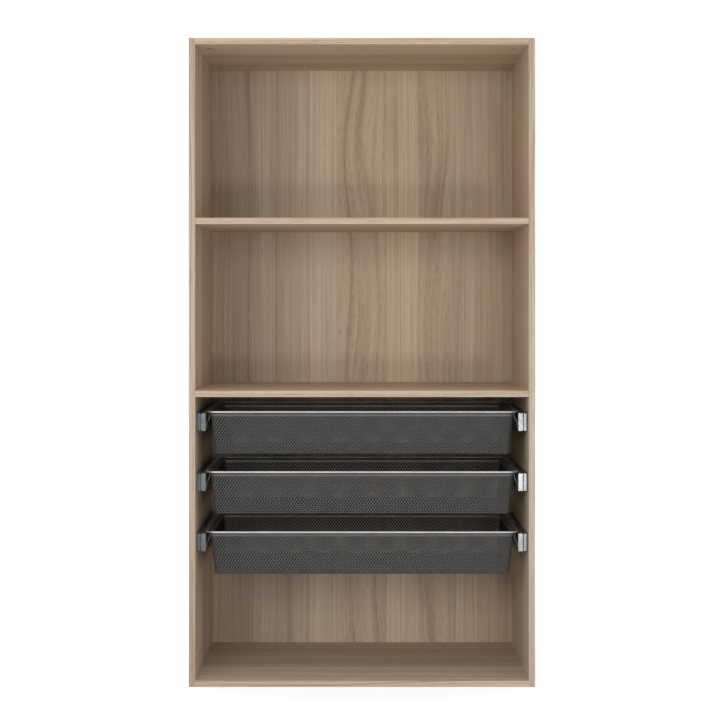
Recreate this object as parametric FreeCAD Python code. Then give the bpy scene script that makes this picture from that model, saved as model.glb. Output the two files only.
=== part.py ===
import FreeCAD, Part

import itertools
import math
import os

# A wardrobe carcass: two sides, a top, a bottom, a grooved back, two shelves, and three mesh
# drawers that hang between telescopic ball runners.
# Millimetres. X runs to the right, Y towards the back, Z up. The origin is on the floor under the
# middle of the carcass.

Vector = FreeCAD.Vector

# The carcass
carcass_width = 1000.0
carcass_height = 1875.0
carcass_depth = 580.0
panel_thickness = 18.0
edge_band_thickness = 0.8
blind_skin = 6.0

# The back panel and the groove that holds it
back_thickness = 3.0
back_margin = 13.0
groove_depth = 8.0
groove_clearance = 0.1

# The shelves
upper_shelf_height = 1337.6
lower_shelf_height = 837.9
shelf_side_clearance = 0.4
shelf_back_clearance = 2.0

# The pins that carry a shelf, hidden in pockets in its ends
pin_radius = 2.5
pin_reach = 10.0
pin_front_setback = 69.0
pin_back_room = 79.0
pin_rise = 6.0
pin_clearance = 0.1

# The cams, bolts and dowels between the sides and the top and bottom
cam_radius = 7.5
cam_skin = 5.5
cam_inset = 34.0
cam_setback = 88.0
cam_slot_clearance = 0.2
bolt_radius = 3.5
bolt_bite = 3.5
dowel_radius = 4.0
dowel_reach = 18.0
dowel_setback = 190.0
fitting_clearance = 0.1
fitting_flat_count = 8
cam_flat_count = 12

# The pairs of holes for hinge plates near the front edge of each side
hinge_hole_radius = 2.5
hinge_hole_setback = 37.0
hinge_hole_spacing = 32.0
hinge_end_margin = 120.0

# The runners of the three drawers, counted down from the lower shelf
runner_drop = 74.9
runner_pitch = 175.0
runner_height = 52.0
runner_setback = 35.0
rail_back_room = 27.5
drawer_names = ("top", "middle", "bottom")

# The spacer channel between the side and the runner
spacer_depth = 12.3
spacer_wall = 1.5
spacer_front_wall = 3.0
bevel = 0.9

# The sections of the runner's three members, across the runner from the spacer to the basket
sheet = 1.2
cover_gap = 1.5
web_gap = 2.4
web_clearance = 2.25
cover_clearance = 2.3
ball_radius = 2.0
rolling_gap = 0.3
race_lip = 1.0
flange_end = 0.8

# The ends of the runner's members
cap_thickness = 3.0
cap_plug = 8.0
cap_plug_gap = 0.5
cap_fit = 0.2
stop_clearance = 0.8
member_end_clearance = 1.0

# The ball cages
cage_sheet = 0.6
cage_gap = 0.6
cage_length = 240.0
cage_window_clearance = 0.2
balls_in_row = 2
ball_pitch = 150.0

# The screws through each runner and spacer into the side
screw_front_margin = 22.5
screw_rear_margin = 51.5
screw_radius = 1.8
screw_head_radius = 3.6
screw_head_sink = 0.1
screw_clearance = 0.1

# The basket
rim_radius = 3.0
rim_overlap = 1.9
rim_setback = 34.0
rim_back_room = 69.0
rim_corner_radius = 28.0
rim_seat_gap = 0.3
corner_steps = 4
basket_height = 128.0
wall_thickness = 0.8
wall_inset = 14.5
wall_taper_share = 0.088
base_bevel = 5.0
base_seam_width = 2.0
base_corner_radius = 8.0
hem_thickness = 1.0
hem_height = 7.0
hem_flare = 6.7
hem_gap = 0.3

# The curved hooks between the drawer rail and the basket
clip_length = 20.0
clip_sheet = 1.4
clip_foot = 11.0
clip_drop = 16.0
clip_setback = 22.0
clip_gap = 0.3
arm_bow_across_share = 0.62
arm_bow_up_share = 0.42

overrun = 5.0

# Places on the carcass that follow from the sizes above
front_y = -carcass_depth / 2
rear_y = carcass_depth / 2
core_front_y = front_y + edge_band_thickness
back_y = rear_y - back_margin - back_thickness
side_inner_x = carcass_width / 2 - panel_thickness
blind_x = side_inner_x + panel_thickness - blind_skin
top_z = carcass_height - panel_thickness
cam_height = panel_thickness - cam_skin
bolt_reach = cam_inset - cam_radius + bolt_bite

# The runner's section: the ball rows lie one race apart, and the cages run between the webs
reach = ball_radius + rolling_gap
race_half_width = reach * math.sqrt(2) - race_lip
ball_row_height = runner_height / 2 - sheet - cover_clearance - sheet - reach
inner_ball_row_height = ball_row_height - 2 * reach - sheet
middle_web = sheet + web_gap
outer_cage_web = middle_web - cage_gap - cage_gap / 2 - cage_sheet
inner_cage_web = middle_web + sheet + cage_gap
ball_row_inset = inner_cage_web + cage_sheet + cage_gap / 2 + race_half_width
cage_end = ball_row_inset + reach + flange_end
web_face = cage_end + web_clearance
cover_end = web_face + sheet
spacer_x = side_inner_x - spacer_depth
rail_inner_x = spacer_x - cover_end

# Places along the runner
runner_front_y = front_y + runner_setback
cover_front_y = runner_front_y + cap_thickness
rail_front_y = cover_front_y + cap_plug + cap_plug_gap
rail_rear_y = back_y - rail_back_room
stop_y = rail_rear_y - sheet
rail_middle_y = (rail_front_y + rail_rear_y) / 2
screw_places = (rail_front_y + screw_front_margin, rail_rear_y - screw_rear_margin)

# The basket's place between the rails
rim_half_width = rail_inner_x + rim_overlap
rim_front_y = front_y + rim_setback
rim_rear_y = rear_y - rim_back_room
rim_half_length = (rim_rear_y - rim_front_y) / 2
rim_middle_y = (rim_rear_y + rim_front_y) / 2


def box(x_range, y_range, z_range):
    """A block between two places on each axis."""
    corner = Vector(x_range[0], y_range[0], z_range[0])
    size = (x_range[1] - x_range[0], y_range[1] - y_range[0], z_range[1] - z_range[0])
    return Part.makeBox(size[0], size[1], size[2], corner)


def both_signs(value):
    """The same distance to either side of a middle."""
    return (-value, value)


def around(middle, half):
    """The range that reaches the same distance to either side of a middle."""
    return (middle - half, middle + half)


def mirrored(shape):
    """The same piece on the other side of the carcass."""
    return shape.mirror(Vector(0, 0, 0), Vector(1, 0, 0))


def with_mirror(shapes):
    """One group of the given pieces and their mirror images."""
    return Part.makeCompound(list(shapes) + [mirrored(shape) for shape in shapes])


def closed(points):
    """The straight-sided wire through the points and back to the first."""
    return Part.makePolygon(list(points) + [points[0]])


def faced(points):
    """A flat face inside a closed outline."""
    return Part.Face(closed(points))


def regular_outline(centre, u_axis, v_axis, radius, flats):
    """The corners of a regular outline whose flats lie at the given radius."""
    corner_radius = radius / math.cos(math.pi / flats)
    corners = []
    for index in range(flats):
        angle = math.pi * (2 * index + 1) / flats
        along = u_axis * (corner_radius * math.cos(angle))
        across = v_axis * (corner_radius * math.sin(angle))
        corners.append(centre + along + across)
    return corners


def outline_across_x(x, y, z, radius):
    """The corners of a small fitting's section, square to X."""
    return regular_outline(Vector(x, y, z), Vector(0, 1, 0), Vector(0, 0, 1), radius, fitting_flat_count)


def bar_x(x_range, y, z, radius):
    """A bar along X. Small repeated fittings are drawn with flats, which lie at their radius."""
    outline = outline_across_x(x_range[0], y, z, radius)
    return faced(outline).extrude(Vector(x_range[1] - x_range[0], 0, 0))


def cone_x(x_range, y, z, radii):
    """A tapered bar along X between two radii, as under a countersunk head."""
    ends = [closed(outline_across_x(x, y, z, radius)) for x, radius in zip(x_range, radii)]
    return Part.makeLoft(ends, True, True)


def bar_z(x, y, z_range, radius):
    """A bar along Z with the flats of a cam."""
    start = Vector(x, y, z_range[0])
    outline = regular_outline(start, Vector(1, 0, 0), Vector(0, 1, 0), radius, cam_flat_count)
    return faced(outline).extrude(Vector(0, 0, z_range[1] - z_range[0]))


# Fittings of the carcass. Each function gives the right-hand pieces, or, grown by a clearance,
# the holes that hold them.


def panel_undersides():
    """The heights of the undersides of the bottom and top panels, where their cams go in."""
    return (0, top_z)


def pin_places():
    """The Y of the pins under each shelf."""
    return (front_y + pin_front_setback, back_y - pin_back_room)


def right_pins(grow):
    """The pins that carry the shelves."""
    x_range = (side_inner_x - pin_reach - grow, blind_x + grow)
    return [
        bar_x(x_range, y, height + pin_rise, pin_radius + grow)
        for height in (upper_shelf_height, lower_shelf_height)
        for y in pin_places()
    ]


def bars_into_panels(setback, x_range, radius):
    """Bars at the middle of the top and bottom panels, this far from the front and the rear."""
    return [
        bar_x(x_range, y, underside + panel_thickness / 2, radius)
        for underside in panel_undersides()
        for y in both_signs(carcass_depth / 2 - setback)
    ]


def right_bolts(grow):
    """The bolts that the cams pull."""
    x_range = (side_inner_x - bolt_reach - grow, blind_x + grow)
    return bars_into_panels(cam_setback, x_range, bolt_radius + grow)


def right_dowels(grow):
    """The wooden dowels between the bolts."""
    x_range = (side_inner_x - dowel_reach - grow, blind_x + grow)
    return bars_into_panels(dowel_setback, x_range, dowel_radius + grow)


def right_cams(grow, mouth):
    """The cams in the undersides of the top and bottom panels, lengthened below by the mouth."""
    return [
        bar_z(
            side_inner_x - cam_inset,
            y,
            (underside - mouth, underside + cam_height + grow),
            cam_radius + grow,
        )
        for underside in panel_undersides()
        for y in both_signs(carcass_depth / 2 - cam_setback)
    ]


def slotted_cams():
    """The cams, each with the slot that its bolt's end lies in."""
    half = bolt_radius + cam_slot_clearance
    slots = [
        box(
            (side_inner_x - bolt_reach - half, side_inner_x),
            around(y, half),
            around(underside + panel_thickness / 2, half),
        )
        for underside in panel_undersides()
        for y in both_signs(carcass_depth / 2 - cam_setback)
    ]
    return [cam.cut(slot) for cam, slot in zip(right_cams(0, 0), slots)]


# Panels


def back_panel(grow):
    """The back panel, or, grown by the clearance, the groove around it."""
    tongue = groove_depth if grow else groove_depth - groove_clearance
    return box(
        both_signs(side_inner_x + tongue),
        (back_y - grow, back_y + back_thickness + grow),
        (panel_thickness - tongue, top_z + tongue),
    )


def hinge_heights():
    """The heights of the hinge plates: near both ends and halfway."""
    return (hinge_end_margin, carcass_height / 2, carcass_height - hinge_end_margin)


def hinge_holes():
    """The pairs of blind holes for hinge plates in the right side."""
    holes = []
    y = front_y + hinge_hole_setback
    for height in hinge_heights():
        for z in around(height, hinge_hole_spacing / 2):
            start = Vector(side_inner_x - overrun, y, z)
            length = blind_x - side_inner_x + overrun
            holes.append(Part.makeCylinder(hinge_hole_radius, length, start, Vector(1, 0, 0)))
    return holes


def side_panel():
    """The right side, drilled for every fitting that enters it."""
    board = box((side_inner_x, carcass_width / 2), (core_front_y, rear_y), (0, carcass_height))
    tools = [back_panel(groove_clearance)] + hinge_holes() + right_pins(pin_clearance)
    tools += right_bolts(fitting_clearance) + right_dowels(fitting_clearance)
    tools += runner_screws(screw_clearance)
    return board.cut(tools)


def level_panel(underside):
    """The top or bottom panel, with its groove, cam pockets and end holes."""
    z_range = (underside, underside + panel_thickness)
    board = box(both_signs(side_inner_x), (core_front_y, rear_y), z_range)
    tools = right_bolts(fitting_clearance) + right_dowels(fitting_clearance)
    tools += right_cams(fitting_clearance, overrun)
    return board.cut([back_panel(groove_clearance)] + tools + [mirrored(tool) for tool in tools])


def shelf(height):
    """A shelf with a pocket over each pin, open to its underside and its end."""
    half_width = side_inner_x - shelf_side_clearance
    rear = back_y - shelf_back_clearance
    board = box(both_signs(half_width), (core_front_y, rear), (height, height + panel_thickness))
    half_pocket = pin_radius + pin_clearance
    pockets = [
        box(
            (side_inner_x - pin_reach - pin_clearance, side_inner_x),
            around(y, half_pocket),
            (height - overrun, height + pin_rise + half_pocket),
        )
        for y in pin_places()
    ]
    return board.cut(pockets + [mirrored(pocket) for pocket in pockets])


def edge_bands():
    """The strips on the front edges of the sides, the top, the bottom and the shelves."""
    y_range = (front_y, core_front_y)
    right = box((side_inner_x, carcass_width / 2), y_range, (0, carcass_height))
    bands = [right, mirrored(right)]
    shelf_half_width = side_inner_x - shelf_side_clearance
    levels = [(underside, side_inner_x) for underside in panel_undersides()]
    levels += [(height, shelf_half_width) for height in (upper_shelf_height, lower_shelf_height)]
    for start, half_width in levels:
        bands.append(box(both_signs(half_width), y_range, (start, start + panel_thickness)))
    return Part.makeCompound(bands)


# The telescopic runner. Its section is drawn in two numbers: how far in from the spacer, and how
# far above the runner's middle line. Every race is a groove with a flat bottom and two slanted
# flanks, all at the same distance from the middle of the ball row.


def race(row_height, side, distance, lip):
    """Four points of a race around a ball row: lip, flat, flat, lip, from the spacer inwards.

    The flanks slope at 45 degrees, so where a flank is a lip's height from the row's middle
    height, it lies the distance times the root of two, less the lip, from the row sideways.
    """
    flat = distance * (math.sqrt(2) - 1)
    wide = distance * math.sqrt(2) - lip
    return [
        (ball_row_inset - wide, row_height + side * lip),
        (ball_row_inset - flat, row_height + side * distance),
        (ball_row_inset + flat, row_height + side * distance),
        (ball_row_inset + wide, row_height + side * lip),
    ]


def outer_lip():
    """How far from the row's middle height the outside of a race's upright free end lies."""
    return (reach + sheet) * math.sqrt(2) - race_half_width


def mirrored_outline(upper_half):
    """A closed outline from its upper half."""
    lower_half = [(across, -height) for across, height in reversed(upper_half)]
    return list(upper_half) + lower_half


def extruded(outline, middle_z, y_range):
    """A right-hand member: the section's outline carried along Y."""
    points = [
        Vector(spacer_x - across, y_range[0], middle_z + height) for across, height in outline
    ]
    return faced(points).extrude(Vector(0, y_range[1] - y_range[0], 0))


def cabinet_rail_outline():
    """A channel open towards the basket, whose flanges race the outer balls from outside."""
    outside = race(ball_row_height, 1, reach + sheet, race_lip + sheet)
    inside = race(ball_row_height, 1, reach, race_lip)
    free_end = (inside[3][0], ball_row_height + outer_lip())
    upper_half = [(0, ball_row_height + race_lip + sheet)] + outside[:3] + [free_end]
    upper_half += list(reversed(inside)) + [(sheet, ball_row_height + race_lip)]
    return mirrored_outline(upper_half)


def middle_rail_outline():
    """A channel whose flanges have a race above for the outer balls and one below."""
    above = race(ball_row_height, -1, reach, race_lip)
    below = race(inner_ball_row_height, 1, reach, race_lip)
    end = above[3][0] + flange_end
    upper_half = [(middle_web, above[0][1])] + above + [(end, above[3][1]), (end, below[3][1])]
    upper_half += list(reversed(below)) + [(middle_web + sheet, below[0][1])]
    return mirrored_outline(upper_half)


def drawer_rail_outline():
    """A cover channel open towards the side, with two legs inside that race the inner balls."""
    half = runner_height / 2
    inside = race(inner_ball_row_height, -1, reach, race_lip)
    outside = race(inner_ball_row_height, -1, reach + sheet, race_lip + sheet)
    free_end = (inside[0][0], inner_ball_row_height - outer_lip())
    leg_top = inner_ball_row_height - race_lip
    upper_half = [(cover_end, half), (cover_gap, half), (cover_gap, half - sheet)]
    upper_half += [(web_face, half - sheet), (web_face, leg_top)]
    upper_half += list(reversed(inside)) + [free_end] + outside[1:]
    upper_half += [(web_face, leg_top - sheet)]
    lower_half = [(across, -height) for across, height in reversed(upper_half)]
    return upper_half + lower_half


def cage_outline(row_height, web):
    """A thin channel whose flanges hold the balls at their middle height."""
    half = cage_sheet / 2
    upper_half = [(web, row_height + half), (cage_end, row_height + half)]
    upper_half += [(cage_end, row_height - half), (web + cage_sheet, row_height - half)]
    return mirrored_outline(upper_half)


def ball_places(middle_z, row_height):
    """The middles of the balls in the upper and lower rows of one cage."""
    places = []
    for index in range(balls_in_row):
        y = rail_middle_y + (index - (balls_in_row - 1) / 2) * ball_pitch
        for z in around(middle_z, row_height):
            places.append(Vector(spacer_x - ball_row_inset, y, z))
    return places


def ball_cage(middle_z, row_height, web):
    """A right-hand ball cage with a window for each ball."""
    y_range = around(rail_middle_y, cage_length / 2)
    body = extruded(cage_outline(row_height, web), middle_z, y_range)
    half = ball_radius + cage_window_clearance
    windows = [
        box(around(place.x, half), around(place.y, half), around(place.z, ball_radius))
        for place in ball_places(middle_z, row_height)
    ]
    return body.cut(windows)


def ball(centre):
    """A ball drawn with twenty flat faces, whose corners lie on the ball's surface.

    The corners are the points (0, 1, golden) in every sign and in the three turns of their
    order. Each face joins three corners an edge apart. An edge is 2 long and the next distance
    between corners is 2 golden, so 1 + golden tells them apart.
    """
    golden = (1 + math.sqrt(5)) / 2
    corners = []
    for one in both_signs(1):
        for far in both_signs(golden):
            corners += [Vector(0, one, far), Vector(one, far, 0), Vector(far, 0, one)]
    scale = ball_radius / corners[0].Length
    faces = []
    for a, b, c in itertools.combinations(corners, 3):
        sides = (a.distanceToPoint(b), b.distanceToPoint(c), c.distanceToPoint(a))
        if max(sides) < 1 + golden:
            faces.append(faced([centre + corner * scale for corner in (a, b, c)]))
    solid = Part.makeSolid(Part.makeShell(faces))
    if solid.Volume < 0:
        solid.reverse()
    return solid


def balls(middle_z, row_height):
    """The balls of one right-hand cage."""
    return [ball(place) for place in ball_places(middle_z, row_height)]


def screw(y, z, grow):
    """A countersunk screw through the cabinet rail and the spacer into the right side."""
    head_x = spacer_x - sheet + screw_head_sink
    neck_x = head_x + screw_head_radius - screw_radius
    head = cone_x((head_x, neck_x), y, z, (screw_head_radius + grow, screw_radius + grow))
    shank = bar_x((neck_x, blind_x + grow), y, z, screw_radius + grow)
    return head.fuse(shank)


def screw_hole(y, z):
    """What a screw's hole takes away, with a mouth over its head."""
    head_x = spacer_x - sheet + screw_head_sink
    mouth = bar_x((head_x - overrun, head_x), y, z, screw_head_radius + screw_clearance)
    return screw(y, z, screw_clearance).fuse(mouth)


def runner_screws(grow):
    """The screws of every right-hand runner, or the holes for them in the side."""
    return [screw(y, middle_z, grow) for middle_z in runner_heights() for y in screw_places]


def runner_heights():
    """The heights of the runners' middle lines, from the top drawer down."""
    top = lower_shelf_height - runner_drop
    return [top - index * runner_pitch for index in range(len(drawer_names))]


def bevelled_front(x_range, y_range, z_range):
    """A block whose four front edges are bevelled."""
    block = box(x_range, y_range, z_range)
    front = [edge for edge in block.Edges if edge.CenterOfMass.y < y_range[0] + bevel / 2]
    return block.makeChamfer(bevel, front)


def spacer(middle_z):
    """A channel that stands off the right side, with a closed and bevelled front end."""
    half = runner_height / 2
    block = bevelled_front(
        (spacer_x, side_inner_x), (runner_front_y, rail_rear_y), around(middle_z, half)
    )
    hollow = box(
        (spacer_x + spacer_wall, side_inner_x),
        (runner_front_y + spacer_front_wall, rail_rear_y),
        around(middle_z, half - spacer_wall),
    )
    return block.cut([hollow] + [screw_hole(y, middle_z) for y in screw_places])


def cabinet_rail(middle_z):
    """The fixed member of a right-hand runner, with a stop plate across its rear end."""
    body = extruded(cabinet_rail_outline(), middle_z, (rail_front_y, rail_rear_y))
    plate = box(
        (spacer_x - web_face, spacer_x - sheet),
        (stop_y, rail_rear_y),
        around(middle_z, inner_ball_row_height),
    )
    return body.fuse(plate).cut([screw_hole(y, middle_z) for y in screw_places])


def middle_rail(middle_z):
    """The intermediate member of a right-hand runner."""
    y_range = (rail_front_y + member_end_clearance, stop_y - member_end_clearance)
    return extruded(middle_rail_outline(), middle_z, y_range)


def drawer_rail(middle_z):
    """The moving member of a right-hand runner, which ends just before the stop plate."""
    return extruded(drawer_rail_outline(), middle_z, (cover_front_y, stop_y - stop_clearance))


def rail_cap(middle_z):
    """The bevelled cap on the front of a right-hand drawer rail, with two plugs that enter it."""
    cap_x_range = (rail_inner_x, spacer_x - cover_gap)
    half = runner_height / 2
    cap = bevelled_front(cap_x_range, (runner_front_y, cover_front_y), around(middle_z, half))
    plug_x_range = (spacer_x - web_face + cap_fit, spacer_x - cover_gap - cap_fit)
    near = inner_ball_row_height - race_lip + cap_fit
    far = half - sheet - cap_fit
    y_range = (cover_front_y, cover_front_y + cap_plug)
    upper = box(plug_x_range, y_range, (middle_z + near, middle_z + far))
    lower = box(plug_x_range, y_range, (middle_z - far, middle_z - near))
    return cap.fuse([upper, lower])


# The basket. It is built of rings between stacked rounded rectangles, each drawn in from the
# outside of the rim.


def ring_radius(inset):
    """The corner radius of a ring.

    Down to the mesh's wall the corners share their middles, so the corner radius falls by as
    much as the outline is drawn in. Further in it keeps the wall's corner radius.
    """
    return rim_corner_radius - min(inset, wall_inset)


def rounded_rectangle(inset, z, radius):
    """A rounded rectangle, whose corners are quarter rounds in a few straight steps."""
    points = []
    for quarter, (sign_x, sign_y) in enumerate(((1, 1), (-1, 1), (-1, -1), (1, -1))):
        middle_x = sign_x * (rim_half_width - inset - radius)
        middle_y = rim_middle_y + sign_y * (rim_half_length - inset - radius)
        for step in range(corner_steps + 1):
            angle = math.pi / 2 * (quarter + step / corner_steps)
            x = middle_x + radius * math.cos(angle)
            points.append(Vector(x, middle_y + radius * math.sin(angle), z))
    return closed(points)


def stacked(levels):
    """A solid through rounded rectangles at rising heights, with straight walls between them."""
    outlines = [rounded_rectangle(inset, z, ring_radius(inset)) for inset, z in levels]
    return Part.makeLoft(outlines, True, True)


def mitred(ring):
    """The four sides of a ring, welded to each other along the middle of every corner."""
    half_ridge = rim_half_width - rim_half_length
    low_z = ring.BoundBox.ZMin - overrun
    corners = {
        (sign_x, sign_y): Vector(sign_x * rim_half_width, rim_middle_y + sign_y * rim_half_length, low_z)
        for sign_x in (1, -1)
        for sign_y in (1, -1)
    }
    left, right = (Vector(sign * half_ridge, rim_middle_y, low_z) for sign in (-1, 1))
    outlines = [
        [left, right, corners[1, -1], corners[-1, -1]],
        [left, right, corners[1, 1], corners[-1, 1]],
        [left, corners[-1, -1], corners[-1, 1]],
        [right, corners[1, -1], corners[1, 1]],
    ]
    up = Vector(0, 0, ring.BoundBox.ZLength + 2 * overrun)
    return Part.makeCompound([ring.common(Part.Face(closed(outline)).extrude(up)) for outline in outlines])


def rim_middle_z(middle_z):
    """The height of the rim rod's middle, where it lies over the drawer rails."""
    return middle_z + runner_height / 2 + rim_seat_gap + rim_radius


def wall_top_z(middle_z):
    """The height where the mesh's walls end and the hem flares out."""
    return rim_middle_z(middle_z) - hem_flare


def wall_inset_at(drop):
    """How far the outside of the tapered wall is drawn in, this far below its top."""
    return wall_inset + drop * wall_taper_share


def basket_rim(middle_z):
    """The rod around the top of the basket, drawn with eight flats."""
    middle = rim_middle_z(middle_z)
    half_flat = rim_radius * math.tan(math.pi / 8)
    cut_corner = rim_radius - half_flat
    heights = [middle - rim_radius, middle - half_flat, middle + half_flat, middle + rim_radius]
    outside = stacked(zip((cut_corner, 0, 0, cut_corner), heights))
    inner = rim_radius + half_flat
    inside = stacked(zip((inner, 2 * rim_radius, 2 * rim_radius, inner), heights))
    return outside.cut(inside)


def basket_hem(middle_z):
    """The plain band outside the top of the mesh, flared out towards the rod."""
    top = wall_top_z(middle_z)
    rod_inset = 2 * rim_radius + hem_gap
    outside = stacked(
        [
            (wall_inset_at(hem_height) - hem_thickness, top - hem_height),
            (wall_inset - hem_thickness, top),
            (rod_inset, top + hem_flare),
        ]
    )
    inside = stacked(
        [
            (wall_inset_at(hem_height), top - hem_height),
            (wall_inset, top),
            (rod_inset + hem_thickness, top + hem_flare),
        ]
    )
    return mitred(outside.cut(inside))


def base_z(middle_z):
    """The height of the basket's underside."""
    return rim_middle_z(middle_z) + rim_radius - basket_height


def foot_inset(middle_z):
    """How far the wall is drawn in where it meets the rounded edge of the base."""
    return wall_inset_at(wall_top_z(middle_z) - base_z(middle_z) - base_bevel)


def seam_inset(middle_z):
    """How far the seam between the walls' flat foot and the base sheet is drawn in."""
    return foot_inset(middle_z) + base_bevel + base_seam_width


def basket_base(middle_z):
    """The flat mesh sheet inside the walls' foot."""
    outline = rounded_rectangle(seam_inset(middle_z), base_z(middle_z), base_corner_radius)
    return Part.Face(outline).extrude(Vector(0, 0, wall_thickness))


def basket_walls(middle_z):
    """The tapered mesh walls, with the edge of the base turned up in two steps of a quarter round."""
    top = wall_top_z(middle_z)
    base = base_z(middle_z)
    foot = base + base_bevel
    wall = foot_inset(middle_z)
    turn = base_bevel * (1 - math.sqrt(2) / 2)
    outside = stacked(
        [(wall + base_bevel, base), (wall + turn, base + turn), (wall, foot), (wall_inset, top)]
    )
    inside = stacked(
        [
            (wall + base_bevel, base + wall_thickness),
            (wall + wall_thickness, foot),
            (wall_inset + wall_thickness, top),
        ]
    )
    return mitred(outside.cut([inside, basket_base(middle_z)]))


def clip(middle_z, y_range):
    """A right-hand hook: a foot on the drawer rail and a curved arm that ends under the hem."""
    hem_x = rim_half_width - wall_inset + hem_thickness
    low = Vector(rail_inner_x, y_range[0], middle_z - clip_drop)
    start = low + Vector(0, 0, clip_foot)
    across = hem_x + clip_gap + clip_sheet - rail_inner_x
    up = wall_top_z(middle_z) - clip_gap - start.z
    bow = start + Vector(across * arm_bow_across_share, 0, up * arm_bow_up_share)
    end = start + Vector(across, 0, up)
    thick = Vector(-clip_sheet, 0, 0)
    edges = [
        Part.LineSegment(low, start),
        Part.Arc(start, bow, end),
        Part.LineSegment(end, end + thick),
        Part.Arc(end + thick, bow + thick, start + thick),
        Part.LineSegment(start + thick, low + thick),
        Part.LineSegment(low + thick, low),
    ]
    outline = Part.Wire([edge.toShape() for edge in edges])
    return Part.Face(outline).extrude(Vector(0, y_range[1] - y_range[0], 0))


def clips(middle_z):
    """A hook near the front and one near the rear of the right-hand drawer rail."""
    front = rim_front_y + clip_setback
    rear = rim_rear_y - clip_setback
    return [clip(middle_z, (front, front + clip_length)), clip(middle_z, (rear - clip_length, rear))]


def carcass_nodes():
    """Every fixed piece of the carcass by name."""
    right_side = side_panel()
    bottom, top = panel_undersides()
    return {
        "side_panel_left": mirrored(right_side),
        "side_panel_right": right_side,
        "top_panel": level_panel(top),
        "bottom_panel": level_panel(bottom),
        "back_panel": back_panel(0),
        "upper_shelf": shelf(upper_shelf_height),
        "lower_shelf": shelf(lower_shelf_height),
        "edge_bands": edge_bands(),
        "shelf_pins": with_mirror(right_pins(0)),
        "cam_locks": with_mirror(slotted_cams()),
        "cam_bolts": with_mirror(right_bolts(0)),
        "dowels": with_mirror(right_dowels(0)),
        "runner_screws": with_mirror(runner_screws(0)),
    }


def drawer_nodes(name, middle_z):
    """Every piece of one drawer and its runners by name."""
    moving = drawer_rail(middle_z)
    outer_cage = ball_cage(middle_z, ball_row_height, outer_cage_web)
    inner_cage = ball_cage(middle_z, inner_ball_row_height, inner_cage_web)
    pieces = {
        "spacers": with_mirror([spacer(middle_z)]),
        "cabinet_rails": with_mirror([cabinet_rail(middle_z)]),
        "middle_rails": with_mirror([middle_rail(middle_z)]),
        "drawer_rail_left": mirrored(moving),
        "drawer_rail_right": moving,
        "rail_caps": with_mirror([rail_cap(middle_z)]),
        "outer_ball_cages": with_mirror([outer_cage]),
        "outer_balls": with_mirror(balls(middle_z, ball_row_height)),
        "inner_ball_cages": with_mirror([inner_cage]),
        "inner_balls": with_mirror(balls(middle_z, inner_ball_row_height)),
        "basket_rim": basket_rim(middle_z),
        "basket_hem": basket_hem(middle_z),
        "basket_walls": basket_walls(middle_z),
        "basket_base": basket_base(middle_z),
        "basket_clips": with_mirror(clips(middle_z)),
    }
    return {name + "_" + piece: shape for piece, shape in pieces.items()}


def main():
    """Builds every node and writes one STEP file for each."""
    os.makedirs("parts", exist_ok=True)
    nodes = carcass_nodes()
    for name, middle_z in zip(drawer_names, runner_heights()):
        nodes.update(drawer_nodes(name, middle_z))
    for node, shape in nodes.items():
        print(node, len(shape.Solids), "solids", "valid" if shape.isValid() else "NOT VALID")
        shape.exportStep("parts/" + node + ".step")


main()
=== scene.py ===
import sys

import logging
import math
from dataclasses import dataclass, field
from enum import Enum

import bpy
import numpy as np
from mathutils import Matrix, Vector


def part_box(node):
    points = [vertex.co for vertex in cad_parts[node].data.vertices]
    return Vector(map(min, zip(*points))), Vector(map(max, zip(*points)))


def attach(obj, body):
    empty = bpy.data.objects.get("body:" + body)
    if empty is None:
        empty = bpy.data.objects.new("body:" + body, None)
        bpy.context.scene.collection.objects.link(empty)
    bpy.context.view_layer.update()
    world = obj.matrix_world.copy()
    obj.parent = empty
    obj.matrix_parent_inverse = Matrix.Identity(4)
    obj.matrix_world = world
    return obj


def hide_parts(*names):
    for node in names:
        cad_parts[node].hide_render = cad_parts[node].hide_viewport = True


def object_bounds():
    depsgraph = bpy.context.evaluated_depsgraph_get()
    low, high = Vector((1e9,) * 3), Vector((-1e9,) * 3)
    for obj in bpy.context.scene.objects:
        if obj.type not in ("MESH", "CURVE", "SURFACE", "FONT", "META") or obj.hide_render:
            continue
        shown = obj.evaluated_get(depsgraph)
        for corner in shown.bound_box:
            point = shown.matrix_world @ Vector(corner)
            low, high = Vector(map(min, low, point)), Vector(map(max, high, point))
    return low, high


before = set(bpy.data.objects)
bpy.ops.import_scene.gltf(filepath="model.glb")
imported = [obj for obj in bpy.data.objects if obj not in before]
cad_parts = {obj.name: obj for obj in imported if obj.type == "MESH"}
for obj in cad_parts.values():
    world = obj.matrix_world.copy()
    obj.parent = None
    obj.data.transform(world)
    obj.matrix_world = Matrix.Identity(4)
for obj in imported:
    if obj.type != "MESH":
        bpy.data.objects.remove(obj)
cad_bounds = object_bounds()

# The visual model of a wardrobe carcass with mesh baskets on telescopic runners.
# Metres, in the frame's own axes: X to the right, Y to the back, Z up from the floor.

log = logging.getLogger("wardrobe")

MM = 0.001
DRAWERS = ("top", "middle", "bottom")
INSIDE_MARK = "inside"
TINY = 1e-6
NOISE_MIDDLE = 0.5
WHITE = (1.0, 1.0, 1.0)

# A ramp of planks spans a metre, with this much of it to each side of the middle.
RAMP_HALF = 0.5

# How far to each side of a place the slope of a surface is read.
NUDGE = 0.02 * MM

# Faces that meet at more than these angles keep a sharp edge, in degrees.
FOLD_CREASE = 25.0
BAR_CREASE = 50.0
ROD_CREASE = 60.0

Pair = tuple[float, float]
Triple = tuple[float, float, float]
Colour = tuple[float, float, float]
Socket = bpy.types.NodeSocket
Source = Socket | float | tuple[float, ...]
Finish = bpy.types.Material
Piece = bpy.types.Object


class Axis(Enum):
    """A direction of the frame, as a place in a vector."""

    X = 0
    Y = 1
    Z = 2


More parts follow.
